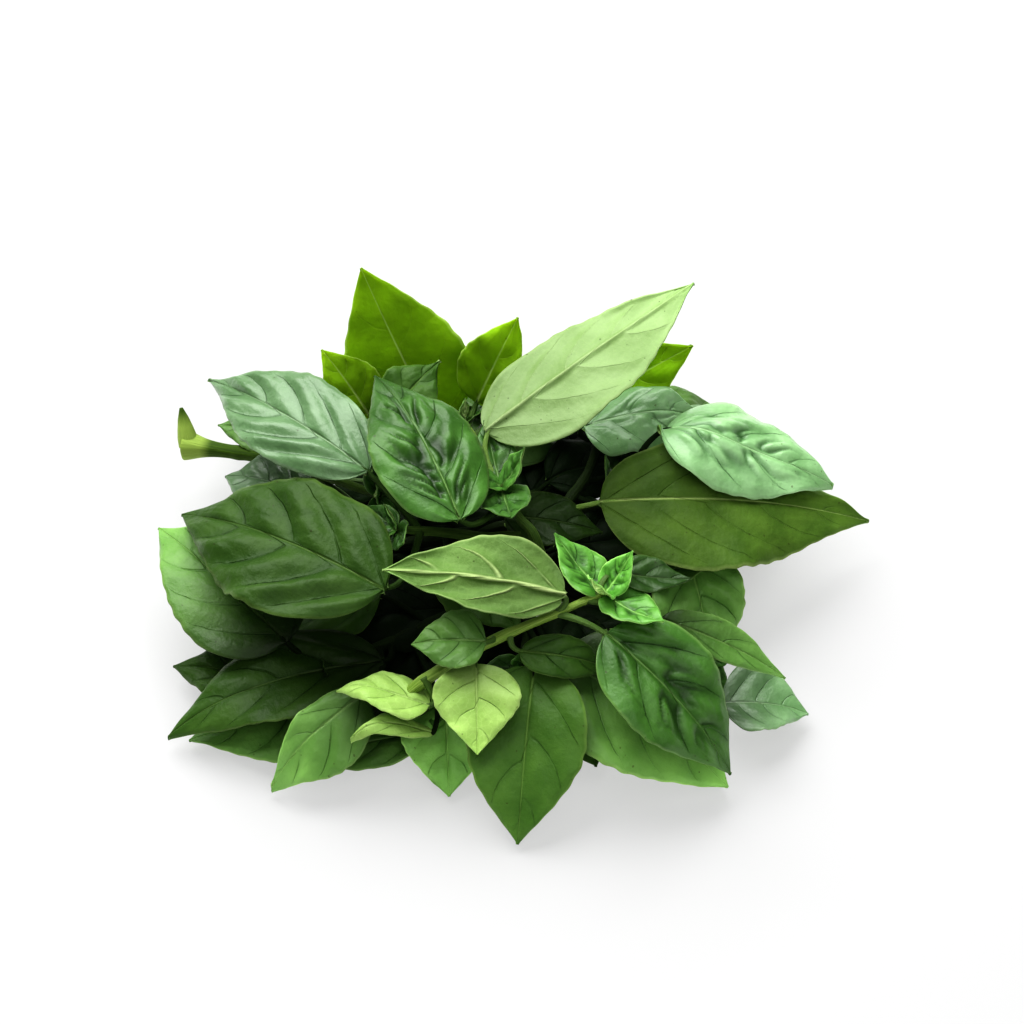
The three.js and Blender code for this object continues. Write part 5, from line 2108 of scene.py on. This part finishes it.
UNDERSIDE = LeafFinish(
    "underside",
    flesh=shade(112, 142, 78), dark=shade(72, 102, 44), vein=shade(190, 210, 146),
    glow=shade(140, 176, 50), line=shade(190, 210, 146),
    roughness=0.6, shine=0.2, vein_show=0.9, rib_show=1.0, net_show=0.06, furrow_shade_show=0.0,
    vein_rise=1.4, vein_width=0.09, relief=0.3,
)
PALE_UNDERSIDE = LeafFinish(
    "underside_pale",
    flesh=shade(154, 182, 122), dark=shade(122, 154, 84), vein=shade(184, 206, 146),
    glow=shade(150, 184, 98), line=shade(186, 206, 156),
    roughness=0.5, shine=0.3, vein_show=0.6, rib_show=0.7, net_show=0.08, furrow_shade_show=0.0,
    vein_rise=0.6, relief=0.2,
)


@dataclass(frozen=True)
class StemFinish:
    """The finish of a stem or stalk, with fine streaks along it and maybe a lit end: a stem
    painted dark as shade, lighter near its cut end where it lies in the light.
    """

    name: str
    flesh: Colour
    streak: Colour
    roughness: float = 0.45
    shine: float = 0.4
    lit_end: Colour | None = None

    STREAK_STRETCH = (2.2, 2.2, 0.5)
    STREAKS = (0.35, 0.65)
    BLOTCH_SHOW = 0.35
    LIT_END_FADES = (0.6, 1.1)
    LIT_END_SHOW = 0.9
    RELIEF = 0.08
    ROUGH_SWING = 0.12

    def build(self) -> bpy.types.Material:
        """Makes the material.

        Returns:
            The material.
        """
        material = bpy.data.materials.new(self.name)
        material.use_nodes = True
        tree = material.node_tree
        tree.nodes.clear()
        n = Nodes(tree)
        grain = n.node("ShaderNodeAttribute", attribute_name="grain").outputs["Vector"]
        fine = n.node("ShaderNodeMapping", {"Vector": grain, "Scale": self.STREAK_STRETCH})
        streaks = n.ramp(n.noise(fine.outputs[0], 2.4, 5.0), *self.STREAKS, 0.0, 1.0)
        blotch = n.noise(grain, 0.9, 2.0)
        colour = n.mix(streaks, self.streak, self.flesh)
        colour = n.mix(n.math("MULTIPLY", blotch, self.BLOTCH_SHOW), colour, self.streak)
        # Painted light: the colour turns lighter towards the cut end, where the stem lies in the
        # light.
        if self.lit_end:
            along = n.node("ShaderNodeSeparateXYZ", {0: grain}).outputs[2]
            cut = n.ramp(along, *self.LIT_END_FADES, self.LIT_END_SHOW, 0.0)
            colour = n.mix(cut, colour, self.lit_end)
        bump = n.node(
            "ShaderNodeBump", {"Height": streaks, "Distance": self.RELIEF * MM, "Strength": 1.0}
        )
        rough = n.math("MULTIPLY_ADD", streaks, self.ROUGH_SWING, self.roughness)
        skin = n.node(
            "ShaderNodeBsdfPrincipled",
            {"Base Color": colour, "Roughness": rough, "Normal": bump.outputs[0]},
        )
        skin.inputs["Specular IOR Level"].default_value = self.shine
        n.node("ShaderNodeOutputMaterial", {"Surface": skin.outputs[0]})
        return material


# Painted light: a lighter copy of the stalk colour, for stalks that lie in the light.
FAIR_STALK = StemFinish("stalk", shade(126, 152, 78), shade(92, 122, 50))
# Painted light: the stem's lighter colour near its cut end, where it lies in the light; the rest
# of that stem is painted darker as shade.
LIT_END = shade(140, 162, 80)
# Painted light and shade: each look is a lighter or darker copy of the same stem and stalk
# colours, for stems in the light, lit only at their cut end, half shaded or deep in shade.
STEMS = {
    StemLook.FAIR: (
        StemFinish("stem", shade(150, 174, 88), shade(108, 138, 50)),
        StemFinish("stalk_green", shade(96, 124, 56), shade(66, 96, 36)),
    ),
    StemLook.CUT: (
        StemFinish("stem_lit_at_cut", shade(72, 98, 26), shade(54, 78, 18), 0.6, 0.15, LIT_END),
        StemFinish("stalk_cut", shade(96, 124, 56), shade(66, 96, 36)),
    ),
    StemLook.DIM: (
        StemFinish("stem_half_shaded", shade(82, 104, 48), shade(58, 82, 32), 0.6, 0.15),
        StemFinish("stalk_half_shaded", shade(62, 86, 36), shade(44, 66, 26), 0.6, 0.12),
    ),
    StemLook.SHADED: (
        StemFinish("stem_shaded", shade(42, 58, 24), shade(28, 42, 15), 0.6, 0.12),
        StemFinish("stalk_shaded", shade(32, 49, 19), shade(22, 36, 12), 0.6, 0.1),
    ),
}


class Wardrobe:
    """Every material of the bunch, each made once."""

    def __init__(self) -> None:
        """Makes the materials."""
        pattern = leaf_pattern()
        self.upper = {look: finish.build(pattern) for look, finish in UPPER_SIDES.items()}
        plain, pale = UNDERSIDE.build(pattern), PALE_UNDERSIDE.build(pattern)
        self.under = {look: pale if look is Look.PALE else plain for look in Look}
        fair = FAIR_STALK.build()
        self.stems = {
            look: [*(part.build() for part in parts), fair] for look, parts in STEMS.items()
        }

    def dress(self, sprig: Sprig, leaves: bpy.types.Object, stems: bpy.types.Object) -> None:
        """Gives a sprig's pieces their materials and their places in the frame.

        Args:
            sprig: The sprig.
            leaves: Its leaves.
            stems: Its stem and stalks.
        """
        for look in sprig.looks():
            leaves.data.materials.append(self.upper[look])
            leaves.data.materials.append(self.under[look])
        for material in self.stems[sprig.stem_look]:
            stems.data.materials.append(material)
        for piece in (leaves, stems):
            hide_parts(sprig.name)
            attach(piece, "root")


@dataclass
class Studio:
    """The pale surface, the soft light and the camera."""

    distance: float = 1.3
    elevation: float = 52.0
    frame_width: float = 0.2867
    aim_up: float = 0.0218
    sensor: float = 36.0
    floor_half: float = 6.0
    paper_plain: float = 0.86
    paper_shown: float = 0.2
    paper_glow: float = 0.41
    sky: float = 0.09

    def build(self) -> None:
        """Makes the surface, the lights and the camera."""
        self.floor()
        self.world()
        self.light("back_light", (-0.25, 0.5, 0.9), size=1.1, power=22.5)
        self.light("front_light", (0.2, -0.6, 0.9), size=1.0, power=4.6)
        self.camera()

    def floor(self) -> None:
        """Makes the surface that the bunch lies on."""
        bm = bmesh.new()
        bmesh.ops.create_grid(bm, x_segments=1, y_segments=1, size=self.floor_half)
        mesh = bpy.data.meshes.new("floor")
        bm.to_mesh(mesh)
        bm.free()
        floor = bpy.data.objects.new("floor", mesh)
        bpy.context.scene.collection.objects.link(floor)
        mesh.materials.append(self.paper())

    def paper(self) -> bpy.types.Material:
        """White paper with a faint glow that fills its shadows but lights nothing else.

        Returns:
            The material.
        """
        material = bpy.data.materials.new("floor")
        material.use_nodes = True
        tree = material.node_tree
        tree.nodes.clear()
        n = Nodes(tree)
        shown, plain = (
            n.node("ShaderNodeBsdfDiffuse", {"Color": (share, share, share)}).outputs[0]
            for share in (self.paper_shown, self.paper_plain)
        )
        glow = n.node("ShaderNodeEmission", {"Strength": self.paper_glow}).outputs[0]
        filled = n.node("ShaderNodeAddShader", {0: shown, 1: glow}).outputs[0]
        seen = n.node("ShaderNodeLightPath").outputs["Is Camera Ray"]
        both = n.node("ShaderNodeMixShader", {0: seen, 1: plain, 2: filled})
        n.node("ShaderNodeOutputMaterial", {"Surface": both.outputs[0]})
        return material

    def world(self) -> None:
        """Lights the scene evenly from all round."""
        world = bpy.data.worlds.new("soft_light")
        bpy.context.scene.world = world
        world.use_nodes = True
        background = world.node_tree.nodes["Background"]
        background.inputs["Color"].default_value = (1, 1, 1, 1)
        background.inputs["Strength"].default_value = self.sky

    def light(self, name: str, place: Point, size: float, power: float) -> None:
        """Adds a soft light that points at the bunch.

        Args:
            name: Its name.
            place: Where it is, in metres.
            size: Its width.
            power: Its power.
        """
        data = bpy.data.lights.new(name, "AREA")
        data.size = size
        data.energy = power
        lamp = bpy.data.objects.new(name, data)
        lamp.location = place
        lamp.rotation_euler = (-Vector(place)).to_track_quat("-Z", "Y").to_euler()
        bpy.context.scene.collection.objects.link(lamp)

    def camera(self) -> None:
        """Adds the camera, which looks down on the bunch from the front."""
        angle = math.radians(self.elevation)
        back = Vector((0, -math.cos(angle), math.sin(angle)))
        up = Vector((0, math.sin(angle), math.cos(angle)))
        origin = Vector(-MIDDLE) * MM
        data = bpy.data.cameras.new("camera")
        data.sensor_width = self.sensor
        data.lens = self.sensor * self.distance / self.frame_width
        camera = bpy.data.objects.new("camera", data)
        camera.location = origin + back * self.distance
        aim = origin + up * self.aim_up
        camera.rotation_euler = (aim - camera.location).to_track_quat("-Z", "Y").to_euler()
        bpy.context.scene.collection.objects.link(camera)
        bpy.context.scene.camera = camera


def main() -> None:
    """Builds the bunch and its studio."""
    logging.basicConfig(level=logging.INFO, format="%(name)s: %(message)s")
    bpy.context.scene.view_settings.view_transform = "Standard"
    bpy.context.scene.view_settings.look = "High Contrast"
    wardrobe = Wardrobe()
    pile, fine = Pile(CELL, SURFACE_TOP), Pile(FINE_CELL, 0.0)
    for number, sprig in enumerate(bunch()):
        leaves, stems = sprig.lay(pile, fine, SEEDS_PER_SPRIG * number)
        wardrobe.dress(sprig, leaves, stems)
        log.info("%s: %d leaf faces", sprig.name, len(leaves.data.polygons))
    Studio().build()


if __name__ == "__main__":
    main()
